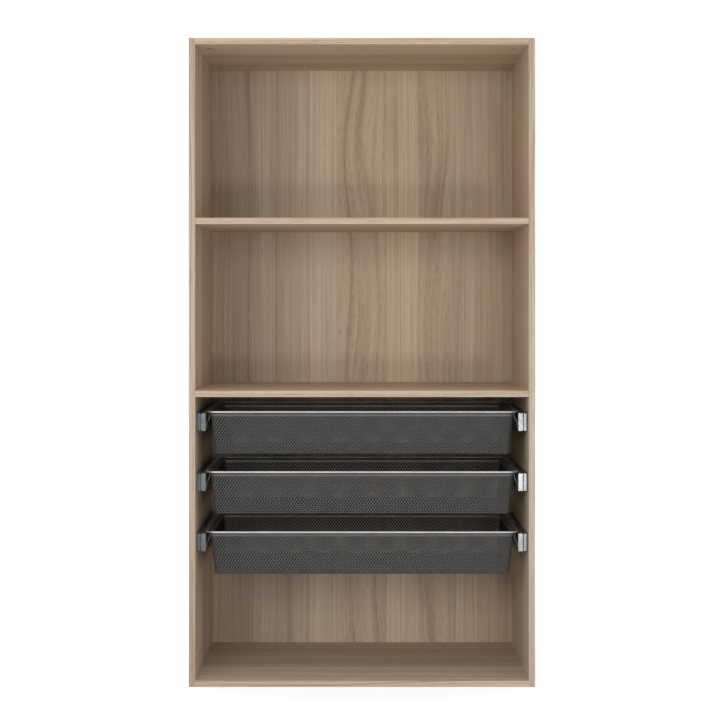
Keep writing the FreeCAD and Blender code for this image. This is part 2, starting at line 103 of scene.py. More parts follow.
class NodeSheet:
    """The node tree of one material, drawn by short calls.

    Every method adds a node, joins its inputs and returns the socket that carries its result.
    """

    def __init__(self, name: str) -> None:
        """Starts an empty tree.

        Args:
            name: The material's name.
        """
        self.material = bpy.data.materials.new(name)
        self.material.use_nodes = True
        self.tree = self.material.node_tree
        self.tree.nodes.clear()
        self.place = self.add("ShaderNodeTexCoord").outputs["Object"]

    def add(self, kind: str, **settings: str | bool) -> bpy.types.Node:
        """Adds a node.

        Args:
            kind: The node's type name.
            **settings: Properties set on the node.

        Returns:
            The new node.
        """
        node = self.tree.nodes.new(kind)
        for name, value in settings.items():
            setattr(node, name, value)
        return node

    def feed(self, socket: Socket, source: Source) -> None:
        """Joins a socket to the socket that feeds it, or sets its value.

        Args:
            socket: The input to fill.
            source: A socket, a number, or a tuple of numbers.
        """
        if isinstance(source, Socket):
            self.tree.links.new(source, socket)
        elif isinstance(source, tuple) and len(source) == 3 and socket.type == "RGBA":
            socket.default_value = (*source, 1.0)
        else:
            socket.default_value = source

    def maths(self, operation: str, *inputs: Source, clamp: bool = False) -> Socket:
        """One step of arithmetic.

        Args:
            operation: The Math node's operation.
            *inputs: Sockets or numbers, in the node's order.
            clamp: Whether the result is held between 0 and 1.

        Returns:
            The result.
        """
        node = self.add("ShaderNodeMath", operation=operation, use_clamp=clamp)
        for socket, source in zip(node.inputs, inputs):
            self.feed(socket, source)
        return node.outputs[0]

    def part(self, axis: Axis, vector: Socket | None = None) -> Socket:
        """One coordinate of a vector, or of the place on the piece.

        Args:
            axis: Which coordinate.
            vector: The vector. The piece's own place where none is given.

        Returns:
            The coordinate.
        """
        node = self.add("ShaderNodeSeparateXYZ")
        self.feed(node.inputs[0], vector or self.place)
        return node.outputs[axis.value]

    def scaled(self, vector: Socket, scale: Triple) -> Socket:
        """A vector times a scale along each axis.

        Args:
            vector: The vector.
            scale: The factor along each axis.

        Returns:
            The product.
        """
        node = self.add("ShaderNodeVectorMath", operation="MULTIPLY")
        self.feed(node.inputs[0], vector)
        node.inputs[1].default_value = scale
        return node.outputs[0]

    def joined(self, x: Source, y: Source, z: Source) -> Socket:
        """A vector from three coordinates.

        Args:
            x: The first coordinate, a socket or a number.
            y: The second.
            z: The third.

        Returns:
            The vector.
        """
        node = self.add("ShaderNodeCombineXYZ")
        for socket, source in zip(node.inputs, (x, y, z)):
            self.feed(socket, source)
        return node.outputs[0]

    def in_grain(
        self, across: Socket, along: Socket, swells: Pair, level: float
    ) -> Socket:
        """A place in the endless pattern of the grain.

        Args:
            across: The place across the grain.
            along: The place along it.
            swells: Swells of the pattern to a metre, across the grain and along it.
            level: The level of the pattern that is cut.

        Returns:
            The two places times their swells, and the level.
        """
        x = self.maths("MULTIPLY", across, swells[0])
        y = self.maths("MULTIPLY", along, swells[1])
        return self.joined(x, y, level)

    def noise(self, vector: Socket, detail: float = 2.0, roughness: float = 0.5) -> Socket:
        """Smooth noise between 0 and 1, one swell to each unit of the vector.

        Args:
            vector: The place, already scaled.
            detail: How many finer layers are added.
            roughness: How strong the finer layers are.

        Returns:
            The noise.
        """
        node = self.add("ShaderNodeTexNoise", noise_dimensions="3D")
        self.feed(node.inputs["Vector"], vector)
        node.inputs["Scale"].default_value = 1.0
        node.inputs["Detail"].default_value = detail
        node.inputs["Roughness"].default_value = roughness
        return node.outputs["Fac"]

    def between(self, value: Socket, low: float, high: float, eased: bool = True) -> Socket:
        """How far a value has come from low to high, held between 0 and 1.

        Args:
            value: The value.
            low: Where the result is 0.
            high: Where the result is 1.
            eased: Whether the rise is eased at both ends.

        Returns:
            The share.
        """
        kind = "SMOOTHSTEP" if eased else "LINEAR"
        node = self.add("ShaderNodeMapRange", interpolation_type=kind, clamp=True)
        self.feed(node.inputs["Value"], value)
        node.inputs["From Min"].default_value = low
        node.inputs["From Max"].default_value = high
        return node.outputs["Result"]

    def ramp(
        self, value: Socket, stops: tuple[tuple[float, Colour], ...], flat: bool = False
    ) -> Socket:
        """A colour read off a ramp.

        Args:
            value: The place on the ramp.
            stops: Places on the ramp with their colours, rising.
            flat: Whether each colour holds until the next stop.

        Returns:
            The colour.
        """
        node = self.add("ShaderNodeValToRGB")
        ramp = node.color_ramp
        ramp.interpolation = "CONSTANT" if flat else "LINEAR"
        while len(ramp.elements) < len(stops):
            ramp.elements.new(1.0)
        for element, (place, colour) in zip(ramp.elements, stops):
            element.position = place
            element.color = (*colour, 1.0)
        self.feed(node.inputs[0], value)
        return node.outputs["Color"]

    def mix(self, share: Source, first: Source, second: Source, blend: str = "MIX") -> Socket:
        """A mix of two colours.

        Args:
            share: How much of the second colour there is.
            first: A colour or a socket.
            second: A colour or a socket.
            blend: The Mix node's blend type.

        Returns:
            The mixed colour.
        """
        node = self.add("ShaderNodeMix", data_type="RGBA", blend_type=blend)
        colours = [socket for socket in node.inputs if socket.type == "RGBA"]
        self.feed(node.inputs["Factor"], share)
        self.feed(colours[0], first)
        self.feed(colours[1], second)
        return next(socket for socket in node.outputs if socket.type == "RGBA")

    def bump(self, height: Socket, distance: float) -> Socket:
        """A normal tilted by a height.

        Args:
            height: The height, between 0 and 1.
            distance: How far out a height of 1 stands, in metres.

        Returns:
            The normal.
        """
        node = self.add("ShaderNodeBump")
        node.inputs["Distance"].default_value = distance
        self.feed(node.inputs["Height"], height)
        return node.outputs["Normal"]

    def surface(self, **inputs: Source) -> Finish:
        """Closes the tree with one Principled surface.

        Args:
            **inputs: The surface's inputs, with an underscore for a blank.

        Returns:
            The finished material.
        """
        shader = self.add("ShaderNodeBsdfPrincipled")
        for name, source in inputs.items():
            self.feed(shader.inputs[name.replace("_", " ")], source)
        output = self.add("ShaderNodeOutputMaterial")
        self.tree.links.new(shader.outputs[0], output.inputs["Surface"])
        return self.material


@dataclass(frozen=True)
class Plank:
    """One printed plank of the foil.

    Attributes:
        start: Where it begins, across the grain.
        tone: What its colour is multiplied by. Besides the print's tone it carries painted shade on
            the back and painted light on the bottom board's band.
        figure: From 0 for straight grain to 1 for leaning, flowing grain.
    """

    start: float
    tone: Colour
    figure: float


@dataclass(frozen=True)
class Streaks:
    """One layer of streaks in the grain.

    Attributes:
        across: How many swells there are to a metre, across the grain.
        along: How many there are to a metre, along it.
        depth: How dark the layer makes the foil, from 0 for light to 1 for dark.
        low: The noise at which a streak begins.
        high: The noise at which it is full.
        eased: Whether its edges are eased.
        detail: How many finer layers of noise are added.
        roughness: How strong the finer layers are.
    """

    across: float
    along: float
    depth: float
    low: float = 0.3
    high: float = 0.7
    eased: bool = False
    detail: float = 1.0
    roughness: float = 0.55

    def noise(self, sheet: NodeSheet, flow: Socket, along: Socket, seed: float) -> Socket:
        """Noise drawn out along the swayed grain, on a level of its own.

        Args:
            sheet: The material being drawn.
            flow: The place across the swayed grain.
            along: The place along it.
            seed: Where in the endless pattern the board was cut from.

        Returns:
            The noise.
        """
        swells = (self.across, self.along)
        place = sheet.in_grain(flow, along, swells, seed + self.across)
        return sheet.noise(place, detail=self.detail, roughness=self.roughness)


@dataclass(frozen=True)
class OakFoil:
    """Oak-effect foil on board, with raw board where the foil stops.

    Attributes:
        name: The material's name.
        grain: The direction of the grain.
        across: The direction across the grain on the broad faces.
        planks: The planks printed on it, in order across the grain.
        light: The colour between the streaks.
        dark: The colour of the streaks.
        seed: Where in the endless pattern this board was cut from.
        raw_from_y: Behind this Y the surface is raw board.
        broad: The broad streaks.
        middle: The middling streaks.
        fine: The fine streaks, which also roughen and lift the surface.
        dash: The short dashes of figured planks.
        pore: The pores, which also sink into the surface.
        year: The swell whose middle value the year lines follow.
        year_width: How far to each side of the middle value a year line reaches.
        figured_year: How much darker the year lines are in figured planks.
        contrast: What the depth of all but the year lines is multiplied by.
        swell: Swells of the sway to a metre, across the grain and along it.
        swell_detail: How many finer layers the sway has.
        plain_sway: How far the grain strays in straight planks, in metres.
        figured_sway: How much further it strays in figured ones, in metres.
        blush: What the colour is multiplied by in a blush.
        blush_swell: Blushes to a metre, across the grain and along it.
        blush_shift: How far from the seed the blushes are cut.
        blush_span: The noise at which a blush begins, and at which it is full.
        raw_dark: The darkest chips of the raw board.
        raw_light: The lightest chips.
        raw_span: The noise at which chips are darkest, and at which they are lightest.
        raw_per_metre: Chips of the raw board to a metre.
        gloss: The roughness of the foil between the fine streaks.
        gloss_spread: How much rougher it is in them.
        specular: How much the foil shines.
        pore_sink: How far a pore sinks against the fine streaks' height.
        grain_height: The height of the fine streaks, in metres.
    """

    name: str
    grain: Axis
    across: Axis
    planks: tuple[Plank, ...]
    light: Colour
    dark: Colour
    seed: float
    raw_from_y: float

    broad: Streaks = Streaks(20.0, 0.3, 0.30)
    middle: Streaks = Streaks(62.0, 0.5, 0.18)
    fine: Streaks = Streaks(180.0, 1.6, 0.38)
    dash: Streaks = Streaks(288.0, 26.0, 0.3, low=0.54, eased=True)
    pore: Streaks = Streaks(480.0, 20.0, 0.16, low=0.55, eased=True)
    year: Streaks = Streaks(11.0, 0.3, 0.16, detail=0.0)
    year_width: float = 0.04
    figured_year: float = 0.12
    contrast: float = 1.0
    swell: Pair = (4.0, 1.5)
    swell_detail: float = 0.6
    plain_sway: float = 0.010
    figured_sway: float = 0.15
    blush: Colour = (0.985, 0.925, 0.90)
    blush_swell: Pair = (13.0, 2.2)
    blush_shift: float = 5.0
    blush_span: Pair = (0.5, 0.85)
    raw_dark: Colour = (0.16, 0.10, 0.055)
    raw_light: Colour = (0.50, 0.36, 0.21)
    raw_span: Pair = (0.3, 0.7)
    raw_per_metre: float = 420.0
    gloss: float = 0.48
    gloss_spread: float = 0.14
    specular: float = 0.35
    pore_sink: float = 0.6
    grain_height: float = 0.1 * MM

    def axes(self, sheet: NodeSheet) -> tuple[Socket, Socket]:
        """The place along the grain and the place across it."""
        return sheet.part(self.grain), sheet.part(self.across)

    def by_plank(self, sheet: NodeSheet, across: Socket, values: tuple[Colour, ...]) -> Socket:
        """The value of the plank at the place across the grain, as a colour."""
        stops = tuple((plank.start + RAMP_HALF, value) for plank, value in zip(self.planks, values))
        return sheet.ramp(sheet.maths("ADD", across, RAMP_HALF), stops, flat=True)

    def swayed(self, sheet: NodeSheet, along: Socket, across: Socket, figure: Socket) -> Socket:
        """The place across the grain, moved by a long smooth swell times the plank's sway.

        Args:
            sheet: The material being drawn.
            along: The place along the grain.
            across: The place across it.
            figure: How figured the plank is.

        Returns:
            The place across the swayed grain.
        """
        place = sheet.in_grain(across, along, self.swell, self.seed)
        noise = sheet.noise(place, detail=self.swell_detail)
        swell = sheet.maths("SUBTRACT", noise, NOISE_MIDDLE)
        reach = sheet.maths("MULTIPLY_ADD", figure, self.figured_sway, self.plain_sway)
        return sheet.maths("MULTIPLY_ADD", swell, reach, across)

    def blushed(self, sheet: NodeSheet, colour: Socket, along: Socket, across: Socket) -> Socket:
        """The colour with soft blushes, where wide smooth noise is high.

        Args:
            sheet: The material being drawn.
            colour: The colour so far.
            along: The place along the grain.
            across: The place across it.

        Returns:
            The blushed colour.
        """
        place = sheet.in_grain(across, along, self.blush_swell, self.seed + self.blush_shift)
        share = sheet.between(sheet.noise(place), *self.blush_span)
        return sheet.mix(share, colour, sheet.mix(1.0, colour, self.blush, "MULTIPLY"))

    def raw_board(self, sheet: NodeSheet) -> Socket:
        """The colour of raw particle board: chips of every tone from dark to light.

        Args:
            sheet: The material being drawn.

        Returns:
            The colour.
        """
        place = sheet.scaled(sheet.place, (self.raw_per_metre,) * 3)
        chips = sheet.noise(place, detail=3.0, roughness=0.7)
        return sheet.ramp(chips, tuple(zip(self.raw_span, (self.raw_dark, self.raw_light))))

    def material(self) -> Finish:
        """Draws the foil.

        Everything is drawn along the swayed grain: broad, middling and fine streaks, thin
        dark year lines where a swell crosses its middle value, dashes and pores. Each layer
        adds its depth, and the sum goes from the light colour to the dark. The planks' edges
        themselves stay straight.

        Returns:
            The material.
        """
        sheet = NodeSheet(self.name)
        along, across = self.axes(sheet)
        figures = tuple((plank.figure,) * 3 for plank in self.planks)
        figure = sheet.part(Axis.X, self.by_plank(sheet, across, figures))
        tone = self.by_plank(sheet, across, tuple(plank.tone for plank in self.planks))
        flow = self.swayed(sheet, along, across, figure)

        def drawn(streaks: Streaks) -> Socket:
            """How far each place lies in a streak: its noise, from the low value to the high."""
            noise = streaks.noise(sheet, flow, along, self.seed)
            return sheet.between(noise, streaks.low, streaks.high, streaks.eased)

        fine = drawn(self.fine)
        pore = drawn(self.pore)
        year = sheet.maths(
            "SUBTRACT", self.year.noise(sheet, flow, along, self.seed), NOISE_MIDDLE
        )
        beside = sheet.between(sheet.maths("ABSOLUTE", year), 0.0, self.year_width)
        year_depth = sheet.maths("MULTIPLY_ADD", figure, self.figured_year, self.year.depth)
        layers = (
            (drawn(self.broad), self.broad.depth * self.contrast),
            (drawn(self.middle), self.middle.depth * self.contrast),
            (fine, self.fine.depth * self.contrast),
            (sheet.maths("SUBTRACT", 1.0, beside), year_depth),
            (sheet.maths("MULTIPLY", drawn(self.dash), figure), self.dash.depth * self.contrast),
            (pore, self.pore.depth * self.contrast),
        )
        depth = 0.0
        for layer, share in layers:
            depth = sheet.maths("MULTIPLY_ADD", layer, share, depth, clamp=True)

        colour = sheet.mix(depth, self.light, self.dark)
        colour = sheet.mix(1.0, colour, tone, "MULTIPLY")
        colour = self.blushed(sheet, colour, along, across)
        is_raw = sheet.maths("GREATER_THAN", sheet.part(Axis.Y), self.raw_from_y)
        height = sheet.maths("SUBTRACT", fine, sheet.maths("MULTIPLY", pore, self.pore_sink))
        return sheet.surface(
            Base_Color=sheet.mix(is_raw, colour, self.raw_board(sheet)),
            Roughness=sheet.maths("MULTIPLY_ADD", fine, self.gloss_spread, self.gloss),
            Specular_IOR_Level=self.specular,
            Normal=sheet.bump(height, self.grain_height),
        )


@dataclass(frozen=True)
class EdgeBand(OakFoil):
    """The banding on the front edges: its grain runs up the sides and along the level boards.

    Attributes:
        upright_from_x: From this distance to the middle the band lies on a side's edge.
    """

    upright_from_x: float = 0.4821

    def axes(self, sheet: NodeSheet) -> tuple[Socket, Socket]:
        """The places along the grain and across it, swapped on the sides.

        Each is the sum of two coordinates, one times whether the band is upright and the
        other times whether it is level.

        Args:
            sheet: The material being drawn.

        Returns:
            The place along the grain and the place across it.
        """
        x, z = sheet.part(Axis.X), sheet.part(Axis.Z)
        upright = sheet.maths("GREATER_THAN", sheet.maths("ABSOLUTE", x), self.upright_from_x)
        level = sheet.maths("SUBTRACT", 1.0, upright)
        along = sheet.maths("MULTIPLY_ADD", z, upright, sheet.maths("MULTIPLY", x, level))
        across = sheet.maths("MULTIPLY_ADD", x, upright, sheet.maths("MULTIPLY", z, level))
        return along, across


@dataclass(frozen=True)
class Plated:
    """Bare or plated metal, with fine marks of the rolling along Y.

    Attributes:
        name: The material's name.
        colour: The metal's colour.
        roughness: How dull it is.
        marks: How strongly the rolling marks show in the gloss.
        mark_height: How deep the rolling marks are, in metres.
        mark_scale: Rolling marks to a metre, along each axis.
        cloud_scale: Clouds of the plating to a metre, along each axis.
        cloud_span: The noise at which a cloud begins, and at which it is full.
        clouded: What the colour is multiplied by in a cloud.
    """

    name: str
    colour: Colour
    roughness: float
    marks: float = 0.3
    mark_height: float = 0.02 * MM
    mark_scale: Triple = (2400.0, 22.0, 2400.0)
    cloud_scale: Triple = (60.0, 14.0, 60.0)
    cloud_span: Pair = (0.35, 0.75)
    clouded: float = 0.78

    def material(self) -> Finish:
        """Draws the metal: cloudy plating, and streaks along Y in its gloss and height.

        Returns:
            The material.
        """
        sheet = NodeSheet(self.name)
        cloud = sheet.noise(sheet.scaled(sheet.place, self.cloud_scale), detail=3.0)
        streak = sheet.noise(sheet.scaled(sheet.place, self.mark_scale), detail=2.0)
        dull = tuple(share * self.clouded for share in self.colour)
        swing = sheet.maths("SUBTRACT", streak, NOISE_MIDDLE)
        spread = sheet.maths("MULTIPLY", swing, self.marks)
        return sheet.surface(
            Base_Color=sheet.mix(sheet.between(cloud, *self.cloud_span), self.colour, dull),
            Metallic=1.0,
            Roughness=sheet.maths("ADD", spread, self.roughness, clamp=True),
            Normal=sheet.bump(streak, self.mark_height),
        )


@dataclass(frozen=True)
class CoatedSteel:
    """Powder-coated steel, with the coat's fine orange-peel skin.

    Attributes:
        name: The material's name.
        colour: The coat's colour.
        roughness: How dull it is.
        metallic: How much metal flake shows in it.
        cloud_per_metre: Clouds of its tone to a metre.
        cloud_span: The noise at which a cloud begins, and at which it is full.
        worn: What the colour is multiplied by where a cloud is full.
        dulled: How much duller the coat is there.
        peel_per_metre: Dimples of its skin to a metre.
        peel_height: How deep the dimples are, in metres.
    """

    name: str
    colour: Colour
    roughness: float
    metallic: float
    cloud_per_metre: float = 35.0
    cloud_span: Pair = (0.35, 0.8)
    worn: float = 1.25
    dulled: float = 0.12
    peel_per_metre: float = 1500.0
    peel_height: float = 0.03 * MM

    def material(self) -> Finish:
        """Draws the coat: slightly uneven in tone, gloss and height.

        Returns:
            The material.
        """
        sheet = NodeSheet(self.name)
        cloud = sheet.noise(sheet.scaled(sheet.place, (self.cloud_per_metre,) * 3), detail=4.0)
        peel = sheet.noise(sheet.scaled(sheet.place, (self.peel_per_metre,) * 3), detail=1.0)
        worn = tuple(share * self.worn for share in self.colour)
        colour = sheet.mix(sheet.between(cloud, *self.cloud_span), self.colour, worn)
        spread = sheet.maths("MULTIPLY", cloud, self.dulled)
        return sheet.surface(
            Base_Color=self.painted_face_shading(sheet, colour),
            Metallic=self.metallic,
            Roughness=sheet.maths("ADD", spread, self.roughness),
            Normal=sheet.bump(peel, self.peel_height),
        )

    def painted_face_shading(self, sheet: NodeSheet, colour: Socket) -> Socket:
        """The colour after any painted shading that depends on the face: none on a plain coat."""
        return colour


@dataclass(frozen=True)
class PaintedShadingCoat(CoatedSteel):
    """A coat with painted shading on the faces inside the basket: darker there as painted shade,
    lighter as painted light.

    Attributes:
        inside: What the colour is multiplied by on those faces: below 1 it paints shade, above 1 it
            paints light.
    """

    inside: float = 1.0

    def painted_face_shading(self, sheet: NodeSheet, colour: Socket) -> Socket:
        """The colour with painted shading: multiplied by its share on faces marked as inside."""
        mark = sheet.add("ShaderNodeAttribute", attribute_name=INSIDE_MARK).outputs["Fac"]
        return sheet.mix(mark, colour, sheet.mix(1.0, colour, (self.inside,) * 3, "MULTIPLY"))


@dataclass(frozen=True)
class Beech:
    """Bare turned beech, as in dowels, with the grain along X.

    Attributes:
        name: The material's name.
        light: The colour between the flecks.
        dark: The colour of the flecks.
        fleck_scale: Flecks to a metre, along each axis.
        fleck_span: The noise at which a fleck begins, and at which it is full.
        fleck_height: How high the flecks stand, in metres.
        roughness: How dull the wood is.
    """

    name: str = "bare_beech"
    light: Colour = (0.62, 0.44, 0.27)
    dark: Colour = (0.44, 0.28, 0.15)
    fleck_scale: Triple = (90.0, 900.0, 900.0)
    fleck_span: Pair = (0.4, 0.7)
    fleck_height: float = 0.05 * MM
    roughness: float = 0.7

    def material(self) -> Finish:
        """Draws the wood: short flecks along X.

        Returns:
            The material.
        """
        sheet = NodeSheet(self.name)
        fleck = sheet.noise(sheet.scaled(sheet.place, self.fleck_scale), detail=3.0)
        return sheet.surface(
            Base_Color=sheet.mix(sheet.between(fleck, *self.fleck_span), self.light, self.dark),
            Roughness=self.roughness,
            Normal=sheet.bump(fleck, self.fleck_height),
        )


def mesh_piece(name: str, points: np.ndarray, faces: np.ndarray, crease: float) -> Piece:
    """Makes an object at the origin from whole arrays.

    Args:
        name: The object's name.
        points: Places in metres, one row each.
        faces: Corner indexes of the quads, one row each, outwards by the right-hand rule.
        crease: Faces that meet at more than this angle keep a sharp edge, in degrees.

    Returns:
        The object.
    """
    mesh = bpy.data.meshes.new(name)
    corners = faces.size
    mesh.vertices.add(len(points))
    mesh.vertices.foreach_set("co", np.ascontiguousarray(points, np.float32).ravel())
    mesh.loops.add(corners)
    mesh.loops.foreach_set("vertex_index", np.ascontiguousarray(faces, np.int32).ravel())
    mesh.polygons.add(len(faces))
    mesh.polygons.foreach_set("loop_start", np.arange(0, corners, faces.shape[1], dtype=np.int32))
    mesh.update(calc_edges=True)
    mesh.validate()
    mesh.shade_smooth()
    mesh.set_sharp_from_angle(angle=math.radians(crease))
    piece = bpy.data.objects.new(name, mesh)
    bpy.context.scene.collection.objects.link(piece)
    return piece


def mark_inside(piece: Piece, inside: np.ndarray) -> None:
    """Marks the faces of a piece that lie inside the basket.

    Args:
        piece: The piece.
        inside: Whether each face lies inside.
    """
    mark = piece.data.attributes.new(INSIDE_MARK, "FLOAT", "FACE")
    mark.data.foreach_set("value", inside.astype(np.float32))


def dress_nodes(material: Finish, *nodes: str) -> None:
    """Puts a material on nodes of the frame.

    Args:
        material: The material, which takes the place of each node's plain one.
        *nodes: The nodes' names.
    """
    for node in nodes:
        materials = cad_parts[node].data.materials
        materials.clear()
        materials.append(material)
        log.info("%s: dressed", node)


def set_piece(piece: Piece, material: Finish, body: str, node: str) -> None:
    """Dresses a new piece, sets it on its body and puts it in the place of a node.

    Args:
        piece: The piece.
        material: Its finish.
        body: The body that carries it.
        node: The node of the frame that it replaces.
    """
    piece.data.materials.append(material)
    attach(piece, body)
    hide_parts(node)
    log.info("%s: %d faces", piece.name, len(piece.data.polygons))


def crowned_bars(
    name: str,
    runs: list[tuple[np.ndarray, np.ndarray]],
    width: float,
    thickness: float,
    crown: float,
) -> Piece:
    """Makes one object of many bars with sloping flanks.

    A bar's four corners lie half a thickness to either side of its middle line along the
    surface's normal. Those on the far side lie half a width to either side along the surface,
    and those on the normal's side, which come first, the crown's share of that.

    Args:
        name: The object's name.
        runs: Middle points and unit normals, each an array of bars by samples by 3.
        width: The bars' width.
        thickness: The bars' thickness.
        crown: The share of the width that the face on the normal's side keeps.

    Returns:
        The object, with every face on the far side of the normal marked as inside.
    """
    points = []
    faces = []
    marks = []
    offset = 0
    for middle, normal in runs:
        side = np.cross(normal, np.gradient(middle, axis=1))
        side /= np.linalg.norm(side, axis=-1, keepdims=True)
        corners = [
            middle + side * width * a / 2 + normal * thickness * b / 2
            for a, b in ((crown, 1), (-crown, 1), (-1, -1), (1, -1))
        ]
        around = len(corners)
        far_side = 2
        bars, samples = middle.shape[:2]
        last = samples * around - 1
        sides = grid_quads(samples, around, False, True)
        quads = np.concatenate((sides, [[0, 1, 2, 3], [last, last - 1, last - 2, last - 3]]))
        shift = np.arange(bars)[:, None, None] * samples * around + offset
        points.append(np.stack(corners, axis=2).reshape(-1, 3))
        faces.append((quads[None] + shift).reshape(-1, 4))
        inside = np.concatenate((np.arange(len(sides)) % around == far_side, [False, False]))
        marks.append(np.tile(inside, bars))
        offset += bars * samples * around
    piece = mesh_piece(name, np.concatenate(points), np.concatenate(faces), BAR_CREASE)
    mark_inside(piece, np.concatenate(marks))
    return piece


def grid_quads(rows: int, columns: int, close_rows: bool, close_columns: bool) -> np.ndarray:
    """The quads of a grid of points that are numbered row by row.

    Args:
        rows: Points down the grid.
        columns: Points across the grid.
        close_rows: Whether the last row joins the first.
        close_columns: Whether the last column joins the first.

    Returns:
        Four indexes a quad: this point, the next column, that one's next row, the next row.
    """
    row = np.arange(rows if close_rows else rows - 1)[:, None]
    column = np.arange(columns if close_columns else columns - 1)[None, :]
    next_row = (row + 1) % rows
    next_column = (column + 1) % columns
    corners = (
        row * columns + column,
        row * columns + next_column,
        next_row * columns + next_column,
        next_row * columns + column,
    )
    return np.stack(np.broadcast_arrays(*corners), axis=-1).reshape(-1, 4)


@dataclass(frozen=True)
class BasketLoop:
    """The rounded rectangle that every ring of a basket follows, seen from above.

    A ring is drawn in from the outside of the rim by its inset. Down to the wall the corners
    keep their middles, so the corner radius falls with the inset, and further in it stays.

    Attributes:
        half_width: Half the rim's outside width.
        half_length: Half the rim's outside length.
        middle_y: The Y of the rim's middle.
        corner_radius: The rim's outside corner radius.
        wall_inset: How far the top of the wall is drawn in.
    """

    half_width: float
    half_length: float
    middle_y: float
    corner_radius: float
    wall_inset: float

    def runs(self) -> tuple[np.ndarray, np.ndarray, np.ndarray, np.ndarray]:
        """The loop's knots: distance round the top of the wall, angle, and corner signs.

        Going round, a corner turns the angle while its middle stands still, and a straight
        side moves the middle while the angle stands still.

        Returns:
            Four arrays with a value for each knot. The last two tell in which quarter of
            the loop the corner's middle lies, by the signs of its X and its Y.
        """
        radius = self.corner_radius - self.wall_inset
        turn = radius * math.pi / 2
        width = 2 * (self.half_width - self.corner_radius)
        length = 2 * (self.half_length - self.corner_radius)
        steps = np.array([turn, width, turn, length] * 2)
        distance = np.concatenate(([0.0], np.cumsum(steps)))
        angle = np.array([0, 1, 1, 2, 2, 3, 3, 4, 4]) * math.pi / 2
        sign_x = np.array([1, 1, -1, -1, -1, -1, 1, 1, 1])
        sign_y = np.array([1, 1, 1, 1, -1, -1, -1, -1, 1])
        return distance, angle, sign_x, sign_y

    def length(self) -> float:
        """The distance round the top of the wall."""
        return float(self.runs()[0][-1])

    def angle_at(self, distance: np.ndarray) -> np.ndarray:
        """The outward angle at each distance round the loop.

        Args:
            distance: Distances round the loop, which may go past its end.

        Returns:
            The angles, which grow by a whole turn with each time round.
        """
        knots, angle, _, _ = self.runs()
        whole = np.floor(distance / knots[-1])
        return np.interp(distance - whole * knots[-1], knots, angle) + whole * 2 * math.pi

    def ring(self, distance: np.ndarray, inset: np.ndarray, z: np.ndarray) -> np.ndarray:
        """Points on the rings: the corner's middle plus the radius along the outward angle.

        Args:
            distance: Distances round the loop.
            inset: How far each point is drawn in.
            z: Each point's height.

        Returns:
            The points, in an array with one more axis than the inputs.
        """
        knots, _, sign_x, sign_y = self.runs()
        wrapped = np.mod(distance, knots[-1])
        angle = self.angle_at(distance)
        radius = self.corner_radius - np.minimum(inset, self.wall_inset)
        x = np.interp(wrapped, knots, sign_x) * (self.half_width - inset - radius)
        y = np.interp(wrapped, knots, sign_y) * (self.half_length - inset - radius)
        x = x + radius * np.cos(angle)
        y = y + radius * np.sin(angle) + self.middle_y
        return np.stack(np.broadcast_arrays(x, y, z), axis=-1)

    def stations(self, steps_per_corner: int) -> np.ndarray:
        """Distances round the loop: every corner in equal steps, each straight side in one.

        Args:
            steps_per_corner: Steps in each rounded corner.

        Returns:
            The distances, rising.
        """
        knots = self.runs()[0]
        shares = np.arange(steps_per_corner + 1) / steps_per_corner
        starts = knots[:-1:2, None]
        ends = knots[1::2, None]
        return (starts + (ends - starts) * shares).ravel()


